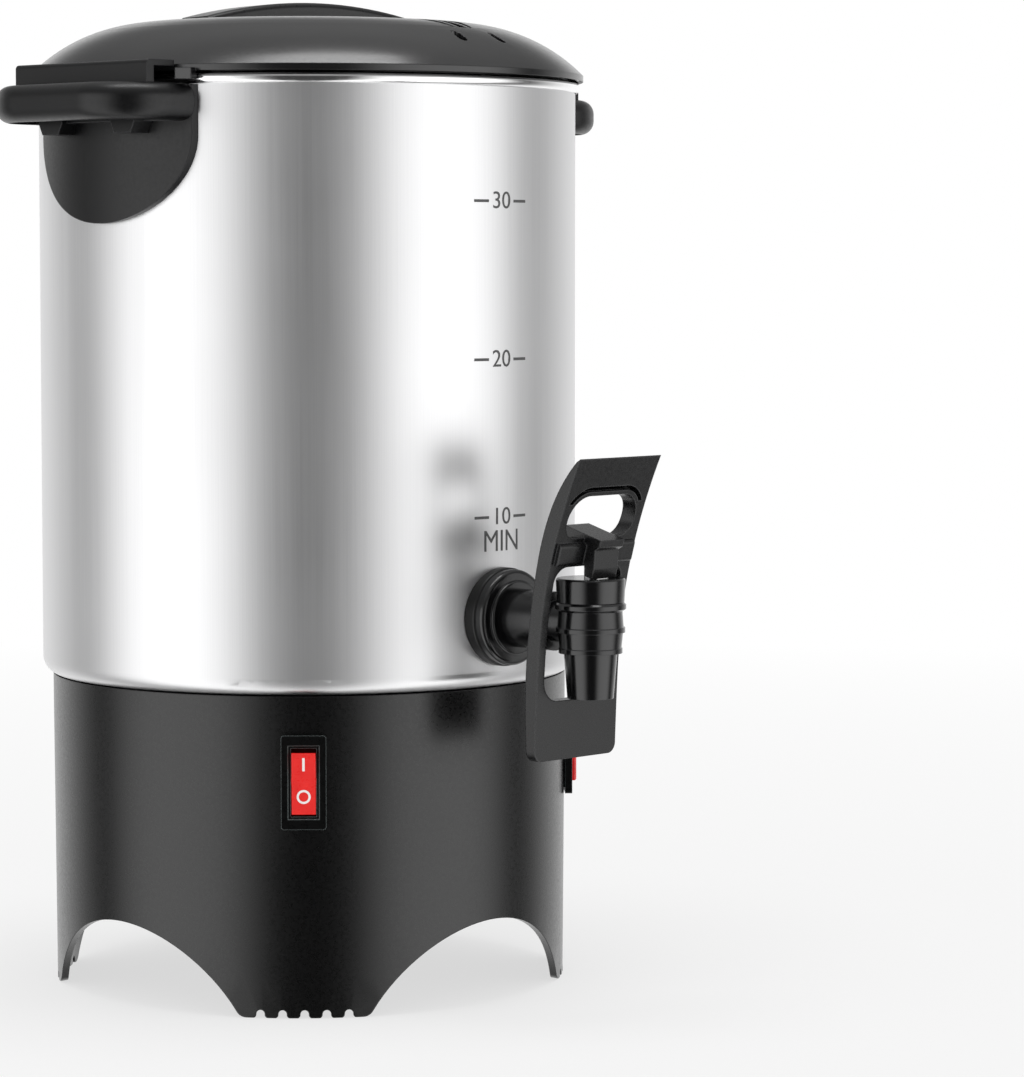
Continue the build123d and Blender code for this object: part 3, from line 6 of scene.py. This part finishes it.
import bmesh
import bpy
from mathutils import Matrix, Vector
from mathutils.bvhtree import BVHTree


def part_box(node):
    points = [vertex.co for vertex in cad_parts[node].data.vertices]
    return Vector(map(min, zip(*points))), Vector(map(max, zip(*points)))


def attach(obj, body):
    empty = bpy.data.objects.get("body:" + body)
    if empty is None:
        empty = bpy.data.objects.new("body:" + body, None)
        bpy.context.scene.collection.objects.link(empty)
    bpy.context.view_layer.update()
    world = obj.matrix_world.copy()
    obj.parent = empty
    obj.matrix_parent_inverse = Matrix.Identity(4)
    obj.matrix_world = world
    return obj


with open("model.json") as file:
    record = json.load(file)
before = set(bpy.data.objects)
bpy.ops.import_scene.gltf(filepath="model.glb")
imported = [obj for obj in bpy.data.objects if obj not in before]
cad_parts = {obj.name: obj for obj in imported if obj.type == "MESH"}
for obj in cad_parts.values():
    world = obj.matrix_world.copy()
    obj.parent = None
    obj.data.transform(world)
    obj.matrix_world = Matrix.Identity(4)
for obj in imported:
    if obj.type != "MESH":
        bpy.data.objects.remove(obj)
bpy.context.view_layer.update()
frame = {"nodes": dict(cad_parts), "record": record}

MM = 0.001

# ---------------------------------------------------------------- the photograph's view
IMAGE_WIDTH = 1024
IMAGE_HEIGHT = 1077
SENSOR = 36.0                          # mm, across the image's longer side
FOCAL_PIXELS = 3905.0
AXIS_PIXEL_X = 309.0                   # where the tank's axis stands in the image
HORIZON_PIXEL_Y = 257.7
CAMERA_DISTANCE = 1382.0 * MM          # from the tank's axis
CAMERA_HEIGHT = 253.6 * MM
CAMERA_AZIMUTH = math.radians(-43.6)   # 0 stands in front of the tap and looks along +Y


def direction_to_camera():
    """Level unit vector from the tank's axis towards the camera."""
    return Vector((math.sin(CAMERA_AZIMUTH), -math.cos(CAMERA_AZIMUTH), 0))


def make_camera():
    """Camera that stands, looks and frames as the photograph's."""
    towards = direction_to_camera()
    yaw = math.atan((IMAGE_WIDTH / 2 - AXIS_PIXEL_X) / FOCAL_PIXELS)
    pitch = math.atan((IMAGE_HEIGHT / 2 - HORIZON_PIXEL_Y) / FOCAL_PIXELS)
    level = Matrix.Rotation(-yaw, 3, "Z") @ -towards
    looking = level * math.cos(pitch) - Vector((0, 0, math.sin(pitch)))
    data = bpy.data.cameras.new("camera")
    data.sensor_width = SENSOR
    data.lens = FOCAL_PIXELS * SENSOR / IMAGE_HEIGHT
    data.clip_start = 0.01
    data.clip_end = 50
    camera = bpy.data.objects.new("camera", data)
    camera.location = towards * CAMERA_DISTANCE + Vector((0, 0, CAMERA_HEIGHT))
    camera.rotation_mode = "QUATERNION"
    camera.rotation_quaternion = looking.to_track_quat("-Z", "Y")
    bpy.context.scene.collection.objects.link(camera)
    bpy.context.scene.camera = camera


# ---------------------------------------------------------------- node helpers
class Nodes:
    """A node tree, with short calls that add a node and link it."""

    def __init__(self, tree):
        self.tree = tree

    def node(self, kind, **settings):
        made = self.tree.nodes.new(kind)
        for key, value in settings.items():
            setattr(made, key, value)
        return made

    def link(self, source, target):
        self.tree.links.new(source, target)

    def feed(self, sockets, values):
        """Sets each socket to its number or vector, or links it to its output."""
        for socket, value in zip(sockets, values):
            if isinstance(value, bpy.types.NodeSocket):
                self.link(value, socket)
            else:
                socket.default_value = value

    def math(self, operation, *values):
        made = self.node("ShaderNodeMath", operation=operation)
        self.feed(made.inputs, values)
        return made.outputs[0]

    def vector(self, operation, *values):
        made = self.node("ShaderNodeVectorMath", operation=operation)
        self.feed(made.inputs, values)
        return made.outputs["Value" if operation in ("DOT_PRODUCT", "LENGTH") else "Vector"]

    def mix(self, factor, first, second):
        """Mix of two numbers, each a number or an output."""
        made = self.node("ShaderNodeMix", data_type="FLOAT")
        self.feed((made.inputs[0], made.inputs[2], made.inputs[3]), (factor, first, second))
        return made.outputs[0]


class Graph(Nodes):
    """A material's nodes."""

    def __init__(self, name):
        self.material = bpy.data.materials.new(name)
        self.material.use_nodes = True
        super().__init__(self.material.node_tree)
        self.shader = self.tree.nodes["Principled BSDF"]

    def position(self):
        return self.node("ShaderNodeTexCoord").outputs["Object"]

    def noise(self, scale, detail=3.0, rough=0.55, vector=None):
        made = self.node("ShaderNodeTexNoise")
        made.inputs["Scale"].default_value = scale
        made.inputs["Detail"].default_value = detail
        made.inputs["Roughness"].default_value = rough
        self.link(vector or self.position(), made.inputs["Vector"])
        return made.outputs["Fac"]

    def spread(self, value, low, high, from_low=0.3, from_high=0.7):
        """A noise's middle range, stretched to run from low to high."""
        made = self.node("ShaderNodeMapRange")
        for name, number in (("From Min", from_low), ("From Max", from_high),
                             ("To Min", low), ("To Max", high)):
            made.inputs[name].default_value = number
        self.link(value, made.inputs["Value"])
        return made.outputs["Result"]

    def blend(self, factor, first, second):
        """Mix of two colours, each a colour or an output."""
        made = self.node("ShaderNodeMix", data_type="RGBA")
        self.link(factor, made.inputs["Factor"])
        for socket, value in ((made.inputs[6], first), (made.inputs[7], second)):
            if isinstance(value, tuple):
                socket.default_value = (*value, 1.0)
            else:
                self.link(value, socket)
        return made.outputs[2]

    def bump(self, height, distance, normal=None):
        made = self.node("ShaderNodeBump")
        made.inputs["Strength"].default_value = 1.0
        made.inputs["Distance"].default_value = distance
        self.link(height, made.inputs["Height"])
        if normal is not None:
            self.link(normal, made.inputs["Normal"])
        return made.outputs["Normal"]

    def soft_edge(self, radius):
        """Normal that rounds sharp edges, and how near an edge a point is."""
        rounded = self.node("ShaderNodeBevel", samples=6)
        rounded.inputs["Radius"].default_value = radius
        true_normal = self.node("ShaderNodeNewGeometry").outputs["Normal"]
        agreement = self.vector("DOT_PRODUCT", rounded.outputs[0], true_normal)
        nearness = self.spread(agreement, 1.0, 0.0, 0.75, 0.995)
        return rounded.outputs[0], nearness

    def set(self, **values):
        names = {"metallic": "Metallic", "specular": "Specular IOR Level", "coat": "Coat Weight",
                 "coat_roughness": "Coat Roughness", "anisotropic": "Anisotropic",
                 "transmission": "Transmission Weight", "ior": "IOR",
                 "emission": "Emission Strength"}
        for key, value in values.items():
            self.shader.inputs[names[key]].default_value = value

    def colour(self, output):
        self.link(output, self.shader.inputs["Base Color"])

    def roughness(self, output):
        self.link(output, self.shader.inputs["Roughness"])

    def normal(self, output):
        self.link(output, self.shader.inputs["Normal"])


def plastic(name, dark, light, rough, grain, edge=0.0004, edge_highlight=1.6, specular=0.5):
    """Moulded plastic: cloudy tone, fine grain, and edges painted lighter as a highlight."""
    g = Graph(name)
    tone = g.spread(g.noise(35.0, 4.0), 0.0, 1.0)
    body = g.blend(tone, dark, light)
    normal, nearness = g.soft_edge(edge)
    # Painted highlight: near every edge the colour is lifted towards a much lighter tone.
    painted_edge_highlight = tuple(min(1.0, c * edge_highlight + 0.004) for c in light)
    g.colour(g.blend(g.math("MULTIPLY", nearness, 0.6), body, painted_edge_highlight))
    g.roughness(g.spread(g.noise(900.0, 2.0), rough * 0.88, rough * 1.12))
    g.normal(g.bump(g.noise(2600.0, 3.0), grain, normal))
    g.set(specular=specular)
    return g.material


BRUSH_LINES = 2600.0                   # scale of the fine lines round the wall
BRUSH_ALONG = 9.0                      # scale up the wall, so that the lines run long
WALL_RADIUS = 94 * MM


def brushed_steel(name, dark, light, rough, polished_from):
    """Steel with fine lines that run up the wall; above a level it is polished."""
    g = Graph(name)
    split = g.node("ShaderNodeSeparateXYZ")
    g.link(g.position(), split.inputs[0])
    behind = g.math("MULTIPLY", split.outputs["Y"], -1.0)
    angle = g.math("ARCTAN2", split.outputs["X"], behind)
    round_wall = g.node("ShaderNodeCombineXYZ")
    g.link(g.math("MULTIPLY", angle, WALL_RADIUS), round_wall.inputs["X"])
    g.link(g.math("MULTIPLY", split.outputs["Z"], BRUSH_ALONG / BRUSH_LINES),
           round_wall.inputs["Y"])
    fine = g.noise(BRUSH_LINES, 4.0, 0.65, round_wall.outputs[0])
    wide = g.noise(BRUSH_LINES / 22, 3.0, 0.5, round_wall.outputs[0])
    smudge = g.noise(14.0, 3.0)
    streaks = g.math("ADD", g.math("MULTIPLY", fine, 0.75), g.math("MULTIPLY", wide, 0.25))
    g.colour(g.blend(g.spread(streaks, 0.0, 1.0, 0.35, 0.65), dark, light))
    mixed = g.math("ADD", g.math("MULTIPLY", streaks, 0.6), g.math("MULTIPLY", smudge, 0.4))
    satin = g.spread(mixed, rough * 0.92, rough * 1.08)
    polish = g.spread(split.outputs["Z"], 1.0, 0.42, polished_from,
                      polished_from + 1 * MM)
    g.roughness(g.math("MULTIPLY", satin, polish))
    g.normal(g.bump(fine, 0.0000015))
    tangent = g.node("ShaderNodeTangent", direction_type="RADIAL", axis="Z")
    g.link(tangent.outputs[0], g.shader.inputs["Tangent"])
    g.set(metallic=1.0, anisotropic=0.45)
    return g.material


def metal(name, dark, light, rough, scratch=0.000004):
    """Plain sheet or bar metal with faint tarnish and scratches, its edges painted brighter as a
    highlight.
    """
    g = Graph(name)
    normal, nearness = g.soft_edge(0.0003)
    tarnish = g.spread(g.noise(60.0, 5.0), 0.0, 1.0)
    body = g.blend(tarnish, dark, light)
    # Painted highlight: the colour near edges is lifted to a brighter tone.
    bright = tuple(min(1.0, c * 1.15) for c in light)
    g.colour(g.blend(nearness, body, bright))
    g.roughness(g.spread(g.noise(420.0, 5.0), rough * 0.8, rough * 1.25))
    g.normal(g.bump(g.noise(1800.0, 4.0), scratch, normal))
    g.set(metallic=1.0)
    return g.material


def rubber(name, dark, light):
    """Matt seal rubber with a dusty bloom."""
    g = Graph(name)
    bloom = g.spread(g.noise(140.0, 5.0), 0.0, 1.0)
    g.colour(g.blend(bloom, dark, light))
    g.roughness(g.spread(g.noise(700.0), 0.3, 0.42))
    normal, _ = g.soft_edge(0.0003)
    g.normal(g.bump(g.noise(3200.0), 0.000003, normal))
    g.set(specular=0.4)
    return g.material


def lit_plastic(name, dark, light, rough, glow, coat=0.3):
    """Clear coloured plastic that is lit a little from inside."""
    g = Graph(name)
    tone = g.spread(g.noise(260.0, 2.0), 0.0, 1.0)
    body = g.blend(tone, dark, light)
    g.colour(body)
    g.link(body, g.shader.inputs["Emission Color"])
    normal, _ = g.soft_edge(0.0004)
    g.normal(g.bump(g.noise(2400.0), 0.000004, normal))
    g.roughness(g.spread(g.noise(900.0), rough * 0.85, rough * 1.15))
    g.set(emission=glow, coat=coat, coat_roughness=0.1)
    return g.material


def glass(name):
    """Clear glass of a small bulb, warmed by its glow."""
    g = Graph(name)
    g.colour(g.blend(g.spread(g.noise(300.0), 0.0, 1.0), (0.95, 0.7, 0.45), (1.0, 0.85, 0.7)))
    g.roughness(g.spread(g.noise(500.0), 0.04, 0.1))
    g.set(transmission=0.85, ior=1.5)
    return g.material


def printed_ink(name, dark, light):
    """Screen printing, a little rubbed."""
    g = Graph(name)
    g.colour(g.blend(g.spread(g.noise(1200.0, 5.0), 0.0, 1.0), dark, light))
    g.roughness(g.spread(g.noise(800.0), 0.4, 0.6))
    return g.material


RIM_BEAD_RADIUS = 2.0 * MM


def rim_level():
    """Where the tank's rolled rim begins."""
    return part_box("tank_shell")[1].z - 2 * RIM_BEAD_RADIUS


def make_materials():
    """One material for each of the record's slots."""
    return {
        "brushed_tank": brushed_steel("brushed_tank", (0.745, 0.745, 0.75), (0.79, 0.79, 0.795),
                                      0.36, rim_level()),
        "plain_steel": metal("plain_steel", (0.48, 0.48, 0.48), (0.62, 0.62, 0.63), 0.32),
        "aluminium_plate": metal("aluminium_plate", (0.66, 0.67, 0.68), (0.8, 0.8, 0.81), 0.34),
        "brass": metal("brass", (0.60, 0.44, 0.20), (0.78, 0.60, 0.30), 0.28),
        "bakelite": plastic("bakelite", (0.045, 0.025, 0.018), (0.08, 0.045, 0.03), 0.45, 0.00001),
        "ceramic_white": plastic("ceramic_white", (0.72, 0.70, 0.65), (0.82, 0.80, 0.76), 0.4,
                                 0.00001, edge_highlight=1.05),
        # For the black plastics below, the edge number sets how strongly their edges are painted
        # lighter as a highlight.
        "base_black": plastic("base_black", (0.0004, 0.0004, 0.0005), (0.0008, 0.0008, 0.0009),
                              0.29, 0.0000008, specular=0.65, edge=0.0005, edge_highlight=8.0),
        # Its edges are painted far lighter: a painted highlight that draws the bezel's thin light
        # outline.
        "switch_black": plastic("switch_black", (0.0008, 0.0010, 0.0010),
                                (0.0015, 0.0018, 0.0018), 0.3, 0.000001, edge=0.00045,
                                edge_highlight=190.0, specular=0.4),
        "rocker_red": lit_plastic("rocker_red", (0.74, 0.016, 0.014), (0.84, 0.024, 0.020),
                                  0.3, 0.34),
        "lamp_red": lit_plastic("lamp_red", (0.62, 0.012, 0.012), (0.72, 0.02, 0.02), 0.16, 0.3, 0.6),
        "lamp_glass": glass("lamp_glass"),
        "lid_gloss": plastic("lid_gloss", (0.008, 0.008, 0.0085), (0.012, 0.012, 0.0125), 0.21,
                             0.0000012, specular=0.75, edge=0.0005),
        "grip_black": plastic("grip_black", (0.004, 0.004, 0.0045), (0.007, 0.007, 0.0075), 0.3,
                              0.000002, specular=0.5),
        "handle_black": plastic("handle_black", (0.002, 0.002, 0.0025), (0.004, 0.004, 0.0045), 0.36,
                                0.0000012, specular=0.42, edge=0.0006, edge_highlight=16.0),
        "tap_black": plastic("tap_black", (0.002, 0.002, 0.0025), (0.004, 0.004, 0.0045), 0.2,
                             0.000001, specular=0.7, edge=0.0004, edge_highlight=12.0),
        "lever_black": plastic("lever_black", (0.005, 0.005, 0.0055), (0.009, 0.009, 0.0095), 0.28,
                               0.0000012, specular=0.6, edge=0.0006, edge_highlight=9.0),
        "seal_rubber": rubber("seal_rubber", (0.003, 0.003, 0.003), (0.006, 0.006, 0.006)),
    }


# ---------------------------------------------------------------- mesh helpers
def link_mesh(name, mesh, material, body):
    """Puts a finished mesh into the scene as a piece that rides on a body."""
    piece = bpy.data.objects.new(name, mesh)
    mesh.materials.clear()
    mesh.materials.append(material)
    bpy.context.scene.collection.objects.link(piece)
    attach(piece, body)


CAPITAL_SHARE = 0.7                    # a capital's height, as a share of the font's size


def text_outline(words, height):
    """Flat mesh of a word, centred on the origin, its capitals of that height."""
    curve = bpy.data.curves.new("words", "FONT")
    curve.body = words
    curve.size = height / CAPITAL_SHARE
    curve.align_x = "CENTER"
    curve.align_y = "CENTER"
    curve.extrude = 0.5
    curve.resolution_u = 6
    holder = bpy.data.objects.new("words", curve)
    bpy.context.scene.collection.objects.link(holder)
    bpy.context.view_layer.update()
    mesh = bpy.data.meshes.new_from_object(holder)
    bpy.data.objects.remove(holder)
    return mesh


def bar_outline(x, y, width, height):
    """Closed bar, cut across so that it can bend, as deep as a word's mesh."""
    made = bmesh.new()
    bmesh.ops.create_cube(made, size=1.0)
    bmesh.ops.scale(made, vec=(width, height, 1.0), verts=made.verts)
    bmesh.ops.translate(made, vec=(x, y, 0), verts=made.verts)
    long_edges = [e for e in made.edges if abs(e.verts[0].co.x - e.verts[1].co.x) > width * 0.9]
    bmesh.ops.subdivide_edges(made, edges=long_edges, cuts=6)
    mesh = bpy.data.meshes.new("bar")
    made.to_mesh(mesh)
    made.free()
    return mesh


def ring_outline(x, y, radius, stroke, steps=48):
    """Closed flat ring, as deep as a word's mesh."""
    made = bmesh.new()
    loops = []
    for i in range(steps):
        a = 2 * math.pi * i / steps
        loop = [made.verts.new((x + r * math.cos(a), y + r * math.sin(a), depth))
                for r, depth in ((radius, 0.5), (radius - stroke, 0.5),
                                 (radius - stroke, -0.5), (radius, -0.5))]
        loops.append(loop)
    for first, second in zip(loops, loops[1:] + loops[:1]):
        for k in range(4):
            made.faces.new((first[k], second[k], second[(k + 1) % 4], first[(k + 1) % 4]))
    bmesh.ops.recalc_face_normals(made, faces=made.faces)
    mesh = bpy.data.meshes.new("ring")
    made.to_mesh(mesh)
    made.free()
    return mesh


def joined(meshes):
    """One mesh of several."""
    made = bmesh.new()
    for mesh in meshes:
        made.from_mesh(mesh)
        bpy.data.meshes.remove(mesh)
    mesh = bpy.data.meshes.new("joined")
    made.to_mesh(mesh)
    made.free()
    return mesh


# ---------------------------------------------------------------- level marks, above the tap
MARK_THICKNESS = 0.06 * MM
MARK_SPACING = 53.1 * MM               # ten cups
MARK_TOP_LEVEL = 272.6 * MM
MARK_DIGIT_HEIGHT = 5.7 * MM
MARK_DIGITS_WIDTH = 9.6 * MM
MARK_DASH = (6.4 * MM, 0.95 * MM)
MARK_GAP = 1.2 * MM
MARK_DIGIT_SQUEEZE = 1.12              # width, as a share of the font's own
MIN_LEVEL = 158.0 * MM
MIN_HEIGHT = 7.2 * MM
MIN_SQUEEZE = 0.95
WALL_STRIP = (20 * MM, 60 * MM, 30 * MM)   # beside, below and above the marks


def wrap_on_tank(mesh, level, squeeze=1.0):
    """Bends a flat mark round the tank's wall; its depth becomes the print's thickness."""
    radius = front_of_wall()
    for vertex in mesh.vertices:
        x, y, depth = vertex.co
        angle = x * squeeze / radius
        away = radius + MARK_THICKNESS * (depth + 0.5)
        vertex.co = (away * math.sin(angle), -away * math.cos(angle), level + y)
    return mesh


def front_of_wall():
    """How far in front of the tank's axis its wall stands behind the marks."""
    beside, below, above = WALL_STRIP
    return max(-v.co.y for v in frame["nodes"]["tank_shell"].data.vertices
               if abs(v.co.x) < beside
               and MIN_LEVEL - below < v.co.z < MARK_TOP_LEVEL + above)


def make_level_marks(material):
    """Cup marks every ten cups, and the lowest level under them."""
    marks = []
    for i, words in enumerate(("30", "20", "10")):
        level = MARK_TOP_LEVEL - i * MARK_SPACING
        marks.append(wrap_on_tank(text_outline(words, MARK_DIGIT_HEIGHT), level,
                                  MARK_DIGIT_SQUEEZE))
        offset = MARK_DIGITS_WIDTH / 2 + MARK_GAP + MARK_DASH[0] / 2
        for side in (-1, 1):
            marks.append(wrap_on_tank(bar_outline(side * offset, 0, *MARK_DASH), level))
    marks.append(wrap_on_tank(text_outline("MIN", MIN_HEIGHT), MIN_LEVEL,
                              MIN_SQUEEZE))
    link_mesh("level_marks", joined(marks), material, "urn")


# ---------------------------------------------------------------- marks on the rocker
SWITCH_FACING = Vector((-1, -1, 0)).normalized()
ROCKER_MARK_THICKNESS = 0.05 * MM
ON_MARK = (0.0, 6.6 * MM, 0.85 * MM, 4.6 * MM)      # x, y, width, height
OFF_MARK = (0.0, -4.4 * MM, 2.35 * MM, 0.75 * MM)   # x, y, radius, stroke


LAY_FROM = 20 * MM                     # how far outside a mark starts on its way to a surface
LAY_LIFT = 0.6                         # of its thickness, so that its underside stays clear


def lay_on_node(mesh, node_name, facing, centre, thickness):
    """Drops a flat mark onto a node's surface along the way that the surface faces."""
    target = frame["nodes"][node_name].data
    tree = BVHTree.FromPolygons([v.co for v in target.vertices],
                                [tuple(p.vertices) for p in target.polygons])
    right = Vector((0, 0, 1)).cross(facing).normalized()
    for vertex in mesh.vertices:
        x, y, depth = vertex.co
        start = centre + right * x + Vector((0, 0, y)) + facing * LAY_FROM
        hit = tree.ray_cast(start, -facing)[0]
        vertex.co = hit + facing * thickness * (depth + LAY_LIFT)
    return mesh


def make_rocker_marks(material):
    """The stroke on the pressed half and the ring on the other."""
    low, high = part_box("switch_rocker")
    centre = (low + high) / 2
    marks = joined([bar_outline(*ON_MARK), ring_outline(*OFF_MARK)])
    lay_on_node(marks, "switch_rocker", SWITCH_FACING, centre, ROCKER_MARK_THICKNESS)
    link_mesh("rocker_marks", marks, material, "rocker")


# ---------------------------------------------------------------- polished rim
RIM_SKIN = 0.03 * MM
RIM_ARC = (math.radians(-76), math.radians(82))     # round the bead, from under it to its top
RIM_STEPS = (360, 18)                               # round the tank, round the bead
RIM_CREASE = math.radians(60)


def make_rim_polish(material):
    """Thin polished skin on the tank's rolled rim, stepped finely so that it shines evenly."""
    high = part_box("tank_shell")[1]
    around, across = RIM_STEPS
    first, last = RIM_ARC
    turns = [first + (last - first) * i / across for i in range(across + 1)]
    loop = [(turn, RIM_BEAD_RADIUS + RIM_SKIN) for turn in turns]
    loop += [(turn, RIM_BEAD_RADIUS - RIM_SKIN) for turn in reversed(turns)]
    made = bmesh.new()
    rings = []
    for i in range(around):
        azimuth = 2 * math.pi * i / around
        ring = []
        for turn, reach in loop:
            radius = high.x - RIM_BEAD_RADIUS + reach * math.cos(turn)
            level = high.z - RIM_BEAD_RADIUS + reach * math.sin(turn)
            ring.append(made.verts.new((radius * math.cos(azimuth), radius * math.sin(azimuth),
                                        level)))
        rings.append(ring)
    for ring, following in zip(rings, rings[1:] + rings[:1]):
        for k in range(len(loop)):
            nearer = (k + 1) % len(loop)
            made.faces.new((ring[k], following[k], following[nearer], ring[nearer]))
    bmesh.ops.recalc_face_normals(made, faces=made.faces)
    for face in made.faces:
        face.smooth = True
    for edge in made.edges:
        edge.smooth = edge.calc_face_angle() < RIM_CREASE
    mesh = bpy.data.meshes.new("rim_polish")
    made.to_mesh(mesh)
    made.free()
    link_mesh("rim_polish", mesh, material, "urn")


# ---------------------------------------------------------------- screw drives, as painted shade
DRIVE_STROKE = (2.6 * MM, 0.55 * MM)
DRIVE_THICKNESS = 0.04 * MM


def make_screw_drive_shade(material):
    """Cross drives in the heads of the inlet's screws, as a dark skin of painted shade on each head.
    """
    low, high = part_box("inlet_screws")
    length, width = DRIVE_STROKE
    head_radius = (high.z - low.z) / 2
    crosses = []
    for x in (low.x + head_radius, high.x - head_radius):
        centre = Vector((x, high.y, low.z + head_radius))
        cross = joined([bar_outline(0, 0, length, width), bar_outline(0, 0, width, length)])
        crosses.append(lay_on_node(cross, "inlet_screws", Vector((0, 1, 0)), centre,
                                   DRIVE_THICKNESS))
    link_mesh("screw_drive_shade", joined(crosses), material, "urn")


# ---------------------------------------------------------------- studio
FLOOR_RADIUS = 4.0
FLOOR_DROP = 0.15 * MM
FLOOR_LIFT = 0.66                      # share of plain white near the urn, for the eye only
FLOOR_FADE = (0.3, 1.2)                # from the urn's axis, where it turns plain white
SKY_FOR_DIFFUSE = 0.62
SKY_BANDS = ((0.20, 0.45, 0.30), (0.5, 0.85, 0.55))  # to gloss: sine of the elevation from, to,
                                                     # and the brightness from there up


def make_floor():
    """White disc that keeps the urn's shadow and fades into the white backdrop."""
    made = bmesh.new()
    bmesh.ops.create_circle(made, cap_ends=True, radius=FLOOR_RADIUS, segments=96)
    mesh = bpy.data.meshes.new("floor")
    made.to_mesh(mesh)
    made.free()
    floor = bpy.data.objects.new("floor", mesh)
    floor.location.z = -FLOOR_DROP
    g = Graph("floor")
    g.shader.inputs["Base Color"].default_value = (0.93, 0.93, 0.93, 1)
    g.shader.inputs["Roughness"].default_value = 0.9
    g.set(specular=0.1)
    fade = g.spread(g.vector("LENGTH", g.position()), FLOOR_LIFT, 1.0, *FLOOR_FADE)
    white = g.node("ShaderNodeEmission")
    white.inputs["Strength"].default_value = 1.0
    path = g.node("ShaderNodeLightPath").outputs
    direct = g.math("MAXIMUM", path["Is Camera Ray"], path["Is Glossy Ray"])
    direct = g.math("MAXIMUM", direct, path["Is Transmission Ray"])
    mix = g.node("ShaderNodeMixShader")
    g.link(g.math("MULTIPLY", fade, direct), mix.inputs[0])
    g.link(g.shader.outputs[0], mix.inputs[1])
    g.link(white.outputs[0], mix.inputs[2])
    g.link(mix.outputs[0], g.tree.nodes["Material Output"].inputs["Surface"])
    mesh.materials.append(g.material)
    bpy.context.scene.collection.objects.link(floor)
    floor.visible_glossy = False


# plain soft panels that gloss sees: degrees round the urn from the camera's side to the right,
# half of the panel's width, the width of its soft edge, and its brightness
STUDIO_PANELS = ((-60, 10, 35, 1.6), (60, 10, 35, 1.6), (180, 30, 50, 1.0))
STUDIO_DARK = 0.05                     # between the panels


def studio_sky(g, direction):
    """Brightness that gloss sees in a direction: the panels round the urn, and the sky above."""
    level = g.vector("NORMALIZE", g.vector("MULTIPLY", direction, (1, 1, 0)))
    sky = STUDIO_DARK
    for degrees, half_width, soft, brightness in STUDIO_PANELS:
        middle = Matrix.Rotation(math.radians(degrees), 3, "Z") @ direction_to_camera()
        panel = g.node("ShaderNodeMapRange", interpolation_type="SMOOTHSTEP")
        g.feed([panel.inputs[key] for key in ("Value", "From Min", "From Max", "To Min", "To Max")],
               (g.vector("DOT_PRODUCT", level, middle),
                math.cos(math.radians(half_width + soft)), math.cos(math.radians(half_width)),
                0.0, brightness))
        sky = g.math("ADD", sky, panel.outputs["Result"])
    split = g.node("ShaderNodeSeparateXYZ")
    g.link(direction, split.inputs[0])
    for low, high, brightness in SKY_BANDS:
        above = g.node("ShaderNodeMapRange", interpolation_type="SMOOTHSTEP")
        g.feed([above.inputs[key] for key in ("Value", "From Min", "From Max")],
               (split.outputs["Z"], low, high))
        sky = g.mix(above.outputs["Result"], sky, brightness)
    return sky


def make_world():
    """White to the eye; to gloss, three plain soft panels and a dark camera side."""
    world = bpy.data.worlds.new("studio")
    bpy.context.scene.world = world
    world.use_nodes = True
    world.node_tree.nodes.clear()
    g = Nodes(world.node_tree)
    sky = studio_sky(g, g.node("ShaderNodeTexCoord").outputs["Generated"])
    path = g.node("ShaderNodeLightPath").outputs
    unseen = g.mix(path["Is Glossy Ray"], SKY_FOR_DIFFUSE, sky)
    seen = g.math("MAXIMUM", path["Is Camera Ray"], path["Is Transmission Ray"])
    background = g.node("ShaderNodeBackground")
    background.inputs["Color"].default_value = (1, 1, 1, 1)
    g.link(g.mix(seen, unseen, 1.0), background.inputs["Strength"])
    output = g.node("ShaderNodeOutputWorld")
    g.link(background.outputs[0], output.inputs["Surface"])


SOFTBOX_DISTANCE = 1.3                 # metres from the middle of the tank
SOFTBOX_TARGET = Vector((0, 0, 0.2))


def make_softbox(name, azimuth, elevation, size, radiance):
    """Area lamp round the urn; azimuth is counted from the camera's side, to the right."""
    towards = Matrix.Rotation(azimuth, 3, "Z") @ direction_to_camera()
    place = towards * math.cos(elevation) + Vector((0, 0, math.sin(elevation)))
    data = bpy.data.lights.new(name, "AREA")
    data.shape = "RECTANGLE"
    data.size, data.size_y = size
    data.energy = radiance * math.pi * size[0] * size[1]
    lamp = bpy.data.objects.new(name, data)
    lamp.location = SOFTBOX_TARGET + place * SOFTBOX_DISTANCE
    lamp.rotation_mode = "QUATERNION"
    lamp.rotation_quaternion = (-place).to_track_quat("-Z", "Y")
    bpy.context.scene.collection.objects.link(lamp)


def make_studio():
    """World, floor and the one lamp, which shines on the lid from above its front."""
    make_world()
    make_floor()
    make_softbox("front_box", math.radians(12), math.radians(86), (0.9, 0.46), 4.8)
    bpy.context.scene.view_settings.view_transform = "Standard"


# ---------------------------------------------------------------- the urn
def dress_cad_nodes(materials):
    """Gives each CAD node the material of its slot in the record."""
    for entry in frame["record"]["subparts"]:
        node = frame["nodes"][entry["node"]]
        material = materials[entry["material_slot"]]
        node.data.materials.clear()
        node.data.materials.append(material)


make_camera()
make_studio()
slots = make_materials()
dress_cad_nodes(slots)
make_level_marks(printed_ink("mark_ink", (0.085, 0.085, 0.086), (0.13, 0.13, 0.131)))
make_rocker_marks(lit_plastic("rocker_ink", (0.86, 0.84, 0.83), (0.95, 0.93, 0.92), 0.4, 0.3))
make_rim_polish(metal("rim_steel", (0.88, 0.88, 0.88), (0.95, 0.95, 0.95), 0.17, 0.0000004))
# The drives' dark colour is painted shade, standing in for the shadowed recesses.
make_screw_drive_shade(printed_ink("drive_painted_shade", (0.010, 0.010, 0.010), (0.018, 0.018, 0.018)))
